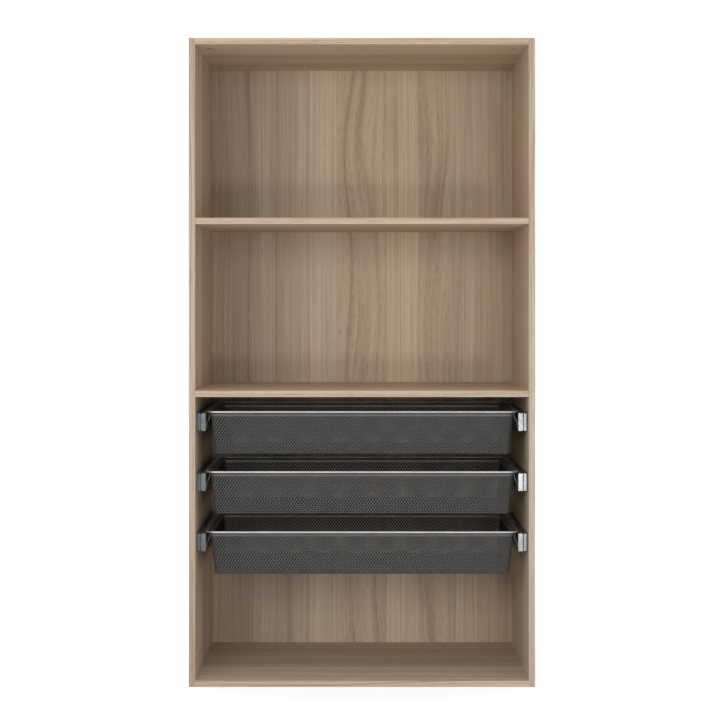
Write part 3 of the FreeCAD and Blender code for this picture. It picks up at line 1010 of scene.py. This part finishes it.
@dataclass
class Basket:
    """One mesh basket: rod, hem, strands and base, which replace the plain solids of the frame.

    Attributes:
        name: The drawer that carries it.
        strand_width: The width of a strand of the mesh.
        strand_thickness: The thickness of a strand.
        strand_crown: The share of its width that a strand's outer face keeps.
        diamond_width: From one opening of the mesh to the next, round the basket.
        diamond_height: From one opening to the next, up the wall.
        hem_sheet: The thickness of the hem's folded sheet.
        hem_slack: The play between the mesh and the hem's inner leg.
        base_bend: The radius of the bend from the wall to the base.
        base_foot: How far the wall's mesh runs on along the base.
        base_corner_radius: The corner radius of the seam between wall and base.
        rim_corner_radius: The rim's outside corner radius.
        rod_sides: Sides of the rod's section.
        corner_steps: Steps in each corner of the rod and the hem.
        bend_points: Points on the section of the base's bend.
        strand_points: Points up the wall on a strand that goes round a corner.
        seam_sides: Half-planes that hold the seam between wall and base.
        rod_radius: The rod's radius. It and all that follow are read from the frame.
        rod_z: The height of the rod's middle.
        hem_low_z: The height of the hem's lower edge.
        hem_high_z: The height of its upper edge.
        hem_top_inset: How far its upper edge is drawn in from the rim.
        wall_top_z: The height of the top of the wall.
        base_z: The height of the underside of the base.
        wall_inset: How far the top of the wall is drawn in.
        foot_inset: How far its foot is drawn in.
        seam_inset: How far the seam is drawn in.
        loop: The rounded rectangle that the rings follow.
    """

    name: str
    strand_width: float = 3.0 * MM
    strand_thickness: float = 0.8 * MM
    strand_crown: float = 0.45
    diamond_width: float = 9.0 * MM
    diamond_height: float = 12.0 * MM
    hem_sheet: float = 1.0 * MM
    hem_slack: float = 0.05 * MM
    base_bend: float = 5.0 * MM
    base_foot: float = 2.0 * MM
    base_corner_radius: float = 8.0 * MM
    rim_corner_radius: float = 28.0 * MM
    rod_sides: int = 20
    corner_steps: int = 12
    bend_points: int = 6
    strand_points: int = 20
    seam_sides: int = 32

    rod_radius: float = field(init=False)
    rod_z: float = field(init=False)
    hem_low_z: float = field(init=False)
    hem_high_z: float = field(init=False)
    hem_top_inset: float = field(init=False)
    wall_top_z: float = field(init=False)
    base_z: float = field(init=False)
    wall_inset: float = field(init=False)
    foot_inset: float = field(init=False)
    seam_inset: float = field(init=False)
    loop: BasketLoop = field(init=False)

    def __post_init__(self) -> None:
        """Reads the basket's sizes from the frame's nodes."""
        rim_low, rim_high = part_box(self.name + "_basket_rim")
        hem_low, hem_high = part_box(self.name + "_basket_hem")
        wall_low, wall_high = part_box(self.name + "_basket_walls")
        base_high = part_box(self.name + "_basket_base")[1]
        self.rod_radius = (rim_high.z - rim_low.z) / 2
        self.rod_z = (rim_high.z + rim_low.z) / 2
        self.hem_low_z = hem_low.z
        self.hem_high_z = hem_high.z
        self.hem_top_inset = rim_high.x - hem_high.x
        self.wall_top_z = wall_high.z
        self.base_z = wall_low.z
        self.seam_inset = rim_high.x - base_high.x
        self.foot_inset = self.seam_inset - self.base_foot - self.base_bend
        self.wall_inset = rim_high.x - wall_high.x
        self.loop = BasketLoop(
            half_width=rim_high.x,
            half_length=(rim_high.y - rim_low.y) / 2,
            middle_y=(rim_high.y + rim_low.y) / 2,
            corner_radius=self.rim_corner_radius,
            wall_inset=self.wall_inset,
        )

    def swept(self, name: str, insets: np.ndarray, heights: np.ndarray, crease: float) -> Piece:
        """Carries a closed profile round the loop.

        Args:
            name: The piece's name.
            insets: The profile's insets, anticlockwise seen with the outside to the right.
            heights: The profile's heights.
            crease: The angle above which an edge stays sharp, in degrees.

        Returns:
            The ring-shaped piece.
        """
        stations = self.loop.stations(self.corner_steps)
        points = self.loop.ring(stations[:, None], insets[None, :], heights[None, :])
        faces = grid_quads(len(stations), len(insets), True, True)
        return mesh_piece(name, points.reshape(-1, 3), faces[:, ::-1], crease)

    def rod(self) -> Piece:
        """The round rod: a circle of the rod's radius carried round the loop.

        Returns:
            The piece.
        """
        turn = np.linspace(0, 2 * math.pi, self.rod_sides, endpoint=False)
        insets = self.rod_radius - self.rod_radius * np.cos(turn)
        heights = self.rod_z + self.rod_radius * np.sin(turn)
        return self.swept(self.name + "_rod", insets, heights, ROD_CREASE)

    def hem(self) -> Piece:
        """The plain band: a folded sheet that flares in from the rod and clasps the mesh.

        Its profile goes up the outer leg and the flare, back down the flare and the inner
        leg, and up and down the slot between the legs, which holds the mesh's top edge.

        Returns:
            The piece, with the faces of the inner leg and the flare over it marked as inside.
        """
        drop = self.wall_top_z - self.hem_low_z
        wall_drop = self.wall_top_z - self.base_z - self.base_bend
        top_inset = self.wall_inset
        low_inset = top_inset + (self.foot_inset - top_inset) * (drop / wall_drop)
        sheet = self.hem_sheet
        slot = self.strand_thickness + self.hem_slack
        outer = [low_inset - sheet, top_inset - sheet, self.hem_top_inset]
        inner = [self.hem_top_inset + sheet, top_inset + slot + sheet, low_inset + slot + sheet]
        clasp = [low_inset + slot, top_inset + slot, top_inset, low_inset]
        inner_sides = (3, 4)
        low, top, high = self.hem_low_z, self.wall_top_z, self.hem_high_z
        insets = np.array(outer + inner + clasp)
        levels = np.array([low, top, high, high, top, low, low, top, top, low])
        piece = self.swept(self.name + "_hem", insets, levels, FOLD_CREASE)
        faces = len(piece.data.polygons)
        mark_inside(piece, np.isin(np.arange(faces) % len(insets), inner_sides))
        return piece

    def wall_profile(self) -> tuple[np.ndarray, np.ndarray, np.ndarray]:
        """The profile of the mesh's middle surface, from the seam up.

        It is a flat foot, a quarter round of the base's bend, and a straight leaning wall.

        Returns:
            Distances along the profile, with the inset and the height at each.
        """
        half = self.strand_thickness / 2
        quarter = np.linspace(0, math.pi / 2, self.bend_points)
        bend = self.base_bend - half
        insets = np.concatenate(
            (
                [self.seam_inset],
                self.foot_inset + self.base_bend - bend * np.sin(quarter),
                [self.wall_inset + half],
            )
        )
        heights = np.concatenate(
            (
                [self.base_z + half],
                self.base_z + self.base_bend - bend * np.cos(quarter),
                [self.wall_top_z],
            )
        )
        steps = np.hypot(np.diff(insets), np.diff(heights))
        return np.concatenate(([0.0], np.cumsum(steps))), insets, heights

    def wall_point(self, distance: np.ndarray, climb: np.ndarray) -> np.ndarray:
        """The point of the mesh's middle surface at a distance round and up it.

        Args:
            distance: Distances round the loop.
            climb: Distances up the wall's profile.

        Returns:
            The points.
        """
        knots, insets, heights = self.wall_profile()
        inset = np.interp(climb, knots, insets)
        return self.loop.ring(distance, inset, np.interp(climb, knots, heights))

    def wall_strands(self) -> Piece:
        """The walls' mesh: strands that climb both ways round the basket.

        A strand's middle line goes round by one diamond width for each diamond height that
        it climbs. Strands that stay on a straight side need no points but the profile's.

        Returns:
            The piece.
        """
        count = round(self.loop.length() / self.diamond_width)
        starts = np.arange(count) * self.loop.length() / count
        slope = self.loop.length() / count / self.diamond_height
        knots = self.wall_profile()[0]
        top = knots[-1]
        up_wall = np.linspace(knots[-2], top, self.strand_points)
        dense = np.concatenate((knots[:-1], up_wall[1:]))
        runs = []
        for sign in (1, -1):
            first = self.loop.angle_at(starts)
            last = self.loop.angle_at(starts + sign * slope * top)
            bent = np.abs(last - first) > TINY
            for chosen, climbs in ((bent, dense), (~bent, knots)):
                runs.append(self.climb(starts[chosen], sign * slope, climbs))
        return self.bars("_wall_mesh", runs)

    def climb(
        self, starts: np.ndarray, slope: float, climbs: np.ndarray
    ) -> tuple[np.ndarray, np.ndarray]:
        """The middle lines of strands that climb the wall, with the wall's outward normals.

        The normal is the cross product of two short steps on the surface, round it and up it.

        Args:
            starts: Where each strand leaves the seam, round the loop.
            slope: Distance round for each unit of climb.
            climbs: Where each strand is sampled, up the wall.

        Returns:
            The points and the normals.
        """
        distance = starts[:, None] + slope * climbs[None, :]
        climb = np.broadcast_to(climbs[None, :], distance.shape)
        middle = self.wall_point(distance, climb)
        ahead = self.wall_point(distance + NUDGE, climb)
        behind = self.wall_point(distance - NUDGE, climb)
        above = self.wall_point(distance, climb + NUDGE)
        below = self.wall_point(distance, climb - NUDGE)
        normal = np.cross(ahead - behind, above - below)
        normal /= np.linalg.norm(normal, axis=-1, keepdims=True)
        return middle, normal

    def base_strands(self) -> Piece:
        """The base's mesh: straight strands both ways, which end at the seam.

        The seam is a rounded rectangle. It is held as many half-planes, whose distance from
        the middle in a direction is the corner radius plus what the corner's middle reaches
        that way. A strand runs from where it enters the last half-plane to where it leaves
        the first.

        Returns:
            The piece.
        """
        low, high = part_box(self.name + "_basket_base")
        radius = self.base_corner_radius
        middle_y = (low.y + high.y) / 2
        half_y = (high.y - low.y) / 2
        turn = np.linspace(0, 2 * math.pi, self.seam_sides, endpoint=False)
        outward = np.stack((np.cos(turn), np.sin(turn)), axis=-1)
        reach = np.abs(outward) @ np.array([high.x - radius, half_y - radius]) + radius
        widest = high.x + half_y * self.diamond_width / self.diamond_height
        count = int(widest / self.diamond_width)
        start_x = np.arange(-count, count + 1) * self.diamond_width
        runs = []
        for sign in (1, -1):
            way = np.array([self.diamond_width, sign * self.diamond_height])
            way /= np.linalg.norm(way)
            closing = outward @ way
            room = reach[None, :] - start_x[:, None] * outward[None, :, 0]
            steps = room / np.where(np.abs(closing) < TINY, TINY, closing)
            leave = np.where(closing > 0, steps, np.inf).min(axis=1)
            enter = np.where(closing < 0, steps, -np.inf).max(axis=1)
            kept = leave - enter > self.strand_width
            along = np.stack((enter, leave), axis=-1)[kept, :, None] * way
            flat = along + np.stack((start_x[kept], np.zeros(kept.sum())), axis=-1)[:, None, :]
            z = np.full(flat.shape[:2], (low.z + high.z) / 2)
            middle = np.stack((flat[..., 0], flat[..., 1] + middle_y, z), axis=-1)
            down = np.array([0.0, 0.0, -1.0])
            runs.append((middle, np.broadcast_to(down, middle.shape)))
        return self.bars("_base_mesh", runs)

    def bars(self, name: str, runs: list[tuple[np.ndarray, np.ndarray]]) -> Piece:
        """Strands of the basket's own section, along lines given with their normals."""
        sizes = (self.strand_width, self.strand_thickness, self.strand_crown)
        return crowned_bars(self.name + name, runs, *sizes)

    def build(self, rod: Finish, hem: Finish, mesh: Finish) -> None:
        """Makes every piece, dresses it and sets it on the drawer.

        Args:
            rod: The rod's finish.
            hem: The hem's finish.
            mesh: The strands' finish.
        """
        pieces = (
            (self.rod(), rod, "rim_chrome", "_basket_rim"),
            (self.hem(), hem, "hem_grey", "_basket_hem"),
            (self.wall_strands(), mesh, "mesh_grey", "_basket_walls"),
            (self.base_strands(), mesh, "mesh_grey", "_basket_base"),
        )
        for piece, material, slot, node in pieces:
            set_piece(piece, material, self.name + "_drawer", self.name + node)


@dataclass
class Carcass:
    """The boards and their hidden fittings, which keep the frame's solids.

    Attributes:
        light: The foil's colour between its streaks.
        dark: The colour of its streaks.
        edge_light: The same on the front edges' bands.
        edge_dark: The colour of the bands' streaks.
        raw_skin: How deep behind a board's rear face raw board is drawn.
        back_planks: The planks on the back, from left to right: the print's tones with its dark
            joints, falling towards the side walls, most on the left, as painted shade.
        side_planks: Those on the sides, from front to rear.
        level_planks: Those on the top, the bottom and the shelves, from front to rear.
        band_planks: The bands' tones, across the sides and up the level boards; the bottom board's
            band is lightened with painted light.
    """

    light: Colour = (0.635, 0.51, 0.385)
    dark: Colour = (0.36, 0.265, 0.19)
    edge_light: Colour = (0.665, 0.54, 0.42)
    edge_dark: Colour = (0.30, 0.195, 0.125)
    raw_skin: float = 0.4 * MM

    # The back's tones are the print's, with narrow dark joints, and fall towards the side walls,
    # most on the left: painted shade from the walls.
    back_planks: tuple[Plank, ...] = (
        Plank(-0.5, (0.79, 0.77, 0.74), 0.1),
        Plank(-0.44, (0.71, 0.70, 0.67), 0.1),
        Plank(-0.370, (0.60, 0.57, 0.53), 0.1),
        Plank(-0.366, (0.75, 0.74, 0.71), 0.1),
        Plank(-0.333, (0.83, 0.84, 0.83), 0.0),
        Plank(-0.279, (0.62, 0.59, 0.55), 0.0),
        Plank(-0.275, (0.78, 0.77, 0.75), 0.05),
        Plank(-0.226, (0.87, 0.86, 0.83), 0.05),
        Plank(-0.168, (1.00, 1.01, 0.99), 0.0),
        Plank(-0.085, (0.82, 0.79, 0.75), 0.0),
        Plank(-0.081, (0.97, 0.95, 0.92), 0.9),
        Plank(0.071, (0.82, 0.79, 0.75), 0.0),
        Plank(0.075, (1.08, 1.08, 1.04), 0.0),
        Plank(0.177, (0.96, 0.94, 0.91), 0.8),
        Plank(0.281, (0.95, 0.95, 0.92), 0.05),
        Plank(0.365, (0.84, 0.80, 0.75), 0.1),
        Plank(0.369, (0.92, 0.89, 0.85), 0.1),
        Plank(0.425, (0.92, 0.89, 0.86), 0.1),
    )
    # On the sides and the level boards the tone is lighter in front of Y = -0.097 m than behind it,
    # and the level boards have a darker strip 7 mm wide at that step.
    side_planks: tuple[Plank, ...] = (
        Plank(-0.5, (1.12, 1.16, 1.16), 0.1),
        Plank(-0.097, (1.06, 1.05, 1.04), 0.4),
        Plank(0.08, (1.12, 1.13, 1.12), 0.05),
    )
    level_planks: tuple[Plank, ...] = (
        Plank(-0.5, (1.18, 1.20, 1.20), 0.1),
        Plank(-0.097, (0.97, 0.96, 0.95), 0.1),
        Plank(-0.09, (1.10, 1.10, 1.08), 0.1),
        Plank(0.06, (1.05, 1.05, 1.03), 0.3),
        Plank(0.17, (1.12, 1.12, 1.11), 0.1),
    )
    # Up the level boards the tone of 1.11 from -0.45 to 0.45 falls on the bottom board's band
    # alone: painted light that lifts the shade on that low edge.
    band_planks: tuple[Plank, ...] = (
        Plank(-0.5, (0.94, 0.94, 0.94), 0.15),
        Plank(-0.45, (1.11, 1.11, 1.11), 0.15),
        Plank(0.45, (1.0, 1.0, 1.0), 0.15),
        Plank(0.499, (1.05, 1.05, 1.05), 0.15),
    )

    def dress(self) -> None:
        """Gives each board its foil, with the grain along it, and each fitting its finish."""
        rear = cad_bounds[1].y - self.raw_skin
        back_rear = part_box("back_panel")[1].y - self.raw_skin
        levels = ("top_panel", "bottom_panel", "upper_shelf", "lower_shelf")
        boards = (
            ("oak_left", Axis.Z, Axis.Y, self.side_planks, 3.7, rear, ("side_panel_left",)),
            ("oak_right", Axis.Z, Axis.Y, self.side_planks, 8.2, rear, ("side_panel_right",)),
            ("oak_level", Axis.X, Axis.Y, self.level_planks, 11.4, rear, levels),
            ("oak_back", Axis.Z, Axis.X, self.back_planks, 23.1, back_rear, ("back_panel",)),
        )
        for name, grain, across, planks, seed, raw_from_y, nodes in boards:
            foil = OakFoil(name, grain, across, planks, self.light, self.dark, seed, raw_from_y)
            dress_nodes(foil.material(), *nodes)
        band = EdgeBand(
            "oak_band",
            Axis.X,
            Axis.Z,
            self.band_planks,
            self.edge_light,
            self.edge_dark,
            seed=31.6,
            raw_from_y=rear,
            broad=Streaks(90.0, 0.3, 0.30),
            middle=Streaks(210.0, 0.5, 0.18),
            fine=Streaks(420.0, 1.6, 0.38),
            contrast=1.15,
        )
        dress_nodes(band.material(), "edge_bands")
        steel = Plated("fitting_steel", (0.62, 0.62, 0.64), roughness=0.35).material()
        dress_nodes(steel, "shelf_pins", "cam_bolts", "runner_screws")
        # The cams' zinc is drawn dark, 0.16, which paints the shade of the recesses they sit in.
        zinc = Plated("cam_zinc", (0.16, 0.16, 0.17), roughness=0.5).material()
        dress_nodes(zinc, "cam_locks")
        dress_nodes(Beech().material(), "dowels")


@dataclass
class Runners:
    """The runners of one drawer, with moulded caps on the front of the moving members.

    Attributes:
        name: The drawer they carry.
        cap_bevel: The width of the bevel round a cap's face.
        cap_border: The width of the raised border, with the bevel.
        cap_recess: How deep the face is sunk inside the border.
        cap_slope: The width of the step down from the border.
        cap_rib: Half the width of the upright rib in the middle of the face.
    """

    name: str
    cap_bevel: float = 0.8 * MM
    cap_border: float = 2.6 * MM
    cap_recess: float = 0.9 * MM
    cap_slope: float = 0.5 * MM
    cap_rib: float = 1.3 * MM

    def caps(self) -> Piece:
        """The two end caps, left and right.

        Seen from the front, a cap's face is sunk by a depth at every place of a grid. With
        the distance to the nearest edge, that depth falls from the bevel's width to nothing
        over the bevel, stays nothing over the border, and comes to the recess's depth over
        the step. The rib in the middle keeps the depth at half of the recess. The back is
        flat, and sides join the two along the edge.

        Returns:
            The piece, which replaces the frame's plain caps.
        """
        low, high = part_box(self.name + "_rail_caps")
        rail_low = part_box(self.name + "_drawer_rail_right")[0]
        steps = np.array([0.0, self.cap_bevel, self.cap_border, self.cap_border + self.cap_slope])
        middle_x = (rail_low.x + high.x) / 2
        rib = np.array([self.cap_rib + self.cap_slope, self.cap_rib])
        x = np.concatenate(
            (rail_low.x + steps, middle_x - rib, middle_x + rib[::-1], high.x - steps[::-1])
        )
        z = np.concatenate((low.z + steps, high.z - steps[::-1]))
        from_side = np.minimum(x - x[0], x[-1] - x)[:, None]
        from_end = np.minimum(z - z[0], z[-1] - z)[None, :]
        nearest = np.minimum(from_side, from_end)
        sunk = np.interp(nearest, steps, [self.cap_bevel, 0.0, 0.0, self.cap_recess])
        rib_sunk = np.interp(from_end, steps, [self.cap_bevel, 0.0, 0.0, self.cap_recess / 2])
        in_rib = np.abs(x - middle_x) < self.cap_rib + self.cap_slope / 2
        sunk = np.where(in_rib[:, None], rib_sunk, sunk)
        grid_x, grid_z = np.meshgrid(x, z, indexing="ij")
        plain_y = np.full_like(grid_x, rail_low.y)
        front = np.stack((grid_x, low.y + sunk, grid_z), axis=-1).reshape(-1, 3)
        back = np.stack((grid_x, plain_y, grid_z), axis=-1).reshape(-1, 3)
        rows, columns = grid_x.shape
        number = np.arange(rows * columns).reshape(rows, columns)
        edge = np.concatenate(
            (number[:-1, 0], number[-1, :-1], number[:0:-1, -1], number[0, :0:-1])
        )
        ahead = np.roll(edge, -1)
        count = rows * columns
        quads = grid_quads(rows, columns, False, False)
        sides = np.stack((edge, edge + count, ahead + count, ahead), axis=-1)
        faces = np.concatenate((quads[:, ::-1], quads + count, sides))
        right = np.concatenate((front, back))
        left = right * np.array([-1.0, 1.0, 1.0])
        return mesh_piece(
            self.name + "_caps",
            np.concatenate((right, left)),
            np.concatenate((faces, faces[:, ::-1] + 2 * count)),
            FOLD_CREASE,
        )

    def dress(self, steel: Finish, cap: Finish, ball: Finish) -> None:
        """Puts the finishes on the runner's members, and the caps in place.

        Args:
            steel: The finish of the rolled members and the cages.
            cap: The end caps' finish.
            ball: The balls' finish.
        """
        for piece in ("cabinet_rails", "middle_rails", "drawer_rail_left", "drawer_rail_right"):
            dress_nodes(steel, self.name + "_" + piece)
        for row in ("outer", "inner"):
            dress_nodes(steel, f"{self.name}_{row}_ball_cages")
            dress_nodes(ball, f"{self.name}_{row}_balls")
        drawer = self.name + "_drawer"
        set_piece(self.caps(), cap, drawer, self.name + "_rail_caps")


def seen_rays(tree: bpy.types.NodeTree) -> Socket:
    """Draws a value that is 1 on rays that show a surface and 0 on rays that are lit by it.

    It is the largest of Light Path's values for camera, glossy and transmission rays.

    Args:
        tree: The node tree to draw in.

    Returns:
        The value.
    """
    rays = tree.nodes.new("ShaderNodeLightPath").outputs
    seen = rays["Is Camera Ray"]
    for ray in ("Is Glossy Ray", "Is Transmission Ray"):
        larger = tree.nodes.new("ShaderNodeMath")
        larger.operation = "MAXIMUM"
        tree.links.new(seen, larger.inputs[0])
        tree.links.new(rays[ray], larger.inputs[1])
        seen = larger.outputs[0]
    return seen


@dataclass
class Studio:
    """The camera, the lamps, the floor and the plain white surroundings.

    Attributes:
        camera_distance: From the middle of the carcass's depth forward to the camera.
        camera_height: The camera's height above the floor.
        lens_mm: The focal length.
        sensor_mm: The sensor's width.
        shift_up: How far the picture is shifted up, in sensor widths.
        dome_strength: How strongly the white dome lights the object.
        key_watts: The large lamp's power.
        key_size: Its width and height.
        key_place: Where it stands, at the front left.
        strip_watts: The small lamp's power.
        strip_size: Its width and height.
        strip_place: Where it stands, low at the front right.
        floor_reach: From the middle of the floor to its edges.
        floor_low: The floor's darker tone.
        floor_high: Its lighter tone.
        floor_clouds: Clouds of the floor's tone to a metre.
        floor_span: The noise at which the floor is darkest, and at which it is lightest.
        floor_roughness: How dull the floor is.
        floor_glow: How much the floor glows where it is seen, to show as white paper.
    """

    camera_distance: float = 5.227
    camera_height: float = 1.1079
    lens_mm: float = 85.0
    sensor_mm: float = 36.0
    shift_up: float = -0.0808
    dome_strength: float = 0.72
    key_watts: float = 60.0
    key_size: Pair = (2.4, 1.2)
    key_place: Triple = (-1.2, -4.7, 1.7)
    strip_watts: float = 28.0
    strip_size: Pair = (0.5, 0.4)
    strip_place: Triple = (1.0, -4.9, 0.21)
    floor_reach: float = 12.0
    floor_low: Colour = (0.72, 0.72, 0.72)
    floor_high: Colour = (0.74, 0.74, 0.74)
    floor_clouds: float = 3.0
    floor_span: Pair = (0.2, 0.8)
    floor_roughness: float = 0.9
    floor_glow: float = 0.57

    def camera(self) -> None:
        """A level camera in front of the carcass, shifted down instead of tilted."""
        data = bpy.data.cameras.new("camera")
        data.lens = self.lens_mm
        data.sensor_width = self.sensor_mm
        data.shift_y = self.shift_up
        camera = bpy.data.objects.new("camera", data)
        bpy.context.scene.collection.objects.link(camera)
        camera.location = (0.0, -self.camera_distance, self.camera_height)
        camera.rotation_euler = (math.radians(90), 0.0, 0.0)
        bpy.context.scene.camera = camera

    def world(self) -> None:
        """A plain dome: a soft fill on the object, and plain white wherever it is seen."""
        world = bpy.data.worlds.new("studio")
        world.use_nodes = True
        tree = world.node_tree
        background = tree.nodes["Background"]
        background.inputs["Color"].default_value = (*WHITE, 1.0)
        strength = tree.nodes.new("ShaderNodeMapRange")
        strength.inputs["To Min"].default_value = self.dome_strength
        strength.inputs["To Max"].default_value = 1.0
        tree.links.new(seen_rays(tree), strength.inputs["Value"])
        tree.links.new(strength.outputs["Result"], background.inputs["Strength"])
        bpy.context.scene.world = world

    def floor(self) -> None:
        """A wide pale floor that shows as white paper, with the object's shadow on it."""
        edge = np.array([-self.floor_reach, self.floor_reach])
        x, y = np.meshgrid(edge, edge)
        points = np.stack((x, y, np.zeros_like(x)), axis=-1).reshape(-1, 3)
        floor = mesh_piece("floor", points, np.array([[0, 1, 3, 2]]), FOLD_CREASE)
        sheet = NodeSheet("pale_floor")
        cloud = sheet.noise(sheet.scaled(sheet.place, (self.floor_clouds,) * 3))
        share = sheet.between(cloud, *self.floor_span)
        paper = sheet.surface(
            Base_Color=sheet.mix(share, self.floor_low, self.floor_high),
            Roughness=self.floor_roughness,
            Emission_Color=WHITE,
            Emission_Strength=sheet.maths("MULTIPLY", seen_rays(sheet.tree), self.floor_glow),
        )
        floor.data.materials.append(paper)

    def lamp(self, name: str, place: Triple, size: Pair, watts: float) -> None:
        """A soft lamp that points at the middle of the carcass.

        Args:
            name: The lamp's name.
            place: Where it stands.
            size: Its width and its height.
            watts: Its power.
        """
        data = bpy.data.lights.new(name, "AREA")
        data.shape = "RECTANGLE"
        data.size, data.size_y = size
        data.energy = watts
        lamp = bpy.data.objects.new(name, data)
        bpy.context.scene.collection.objects.link(lamp)
        lamp.location = place
        low, high = cad_bounds
        aim = (low + high) / 2 - lamp.location
        lamp.rotation_euler = aim.to_track_quat("-Z", "Y").to_euler()

    def build(self) -> None:
        """Sets up the whole studio."""
        scene = bpy.context.scene
        scene.view_settings.view_transform = "Standard"
        self.camera()
        self.world()
        self.floor()
        self.lamp("key", self.key_place, self.key_size, self.key_watts)
        self.lamp("strip", self.strip_place, self.strip_size, self.strip_watts)


def main() -> None:
    """Builds the studio and every piece in order."""
    logging.basicConfig(level=logging.INFO, format="%(name)s %(message)s", stream=sys.stdout)
    Studio().build()
    Carcass().dress()
    smooth = {"marks": 0.05, "mark_height": 0.002 * MM}
    satin = {"marks": 0.03, "mark_height": 0.0005 * MM}
    steel = Plated("runner_steel", (0.60, 0.61, 0.63), roughness=0.32).material()
    # The spacers' and caps' metal is drawn dark, 0.095 and 0.155, as painted shade: it stands for
    # the dark surroundings that light steel would reflect. The strip lamp's reflection keeps the
    # right ones bright.
    spacer = Plated("spacer_zinc_painted_shade", (0.095, 0.105, 0.11), roughness=0.26, **smooth).material()
    cap = Plated("cap_silver", (0.155, 0.157, 0.16), roughness=0.27, **satin).material()
    ball = Plated("ball_chrome", (0.85, 0.85, 0.87), roughness=0.12, marks=0.05).material()
    rod = CoatedSteel("rod_satin", (0.42, 0.42, 0.425), roughness=0.30, metallic=0.75).material()
    # The hem's inner leg and flare are 1.7 times lighter than its outside: painted light on faces
    # that the lamps reach little.
    hem = PaintedShadingCoat("hem_coat_painted_light", (0.08, 0.08, 0.08), 0.4, metallic=0.3, inside=1.7).material()
    # The mesh's faces inside the basket are darkened to 0.12 of the coat: painted shade for the
    # basket's interior.
    mesh = PaintedShadingCoat(
        "mesh_coat_painted_shade", (0.0625, 0.0625, 0.0605), 0.42, metallic=0.3, inside=0.12
    ).material()
    hook = CoatedSteel("hook_coat", (0.10, 0.10, 0.10), roughness=0.35, metallic=0.3).material()
    for name in DRAWERS:
        Runners(name).dress(steel, cap, ball)
        dress_nodes(hook, name + "_basket_clips")
        dress_nodes(spacer, name + "_spacers")
        Basket(name).build(rod, hem, mesh)


if __name__ == "__main__":
    main()
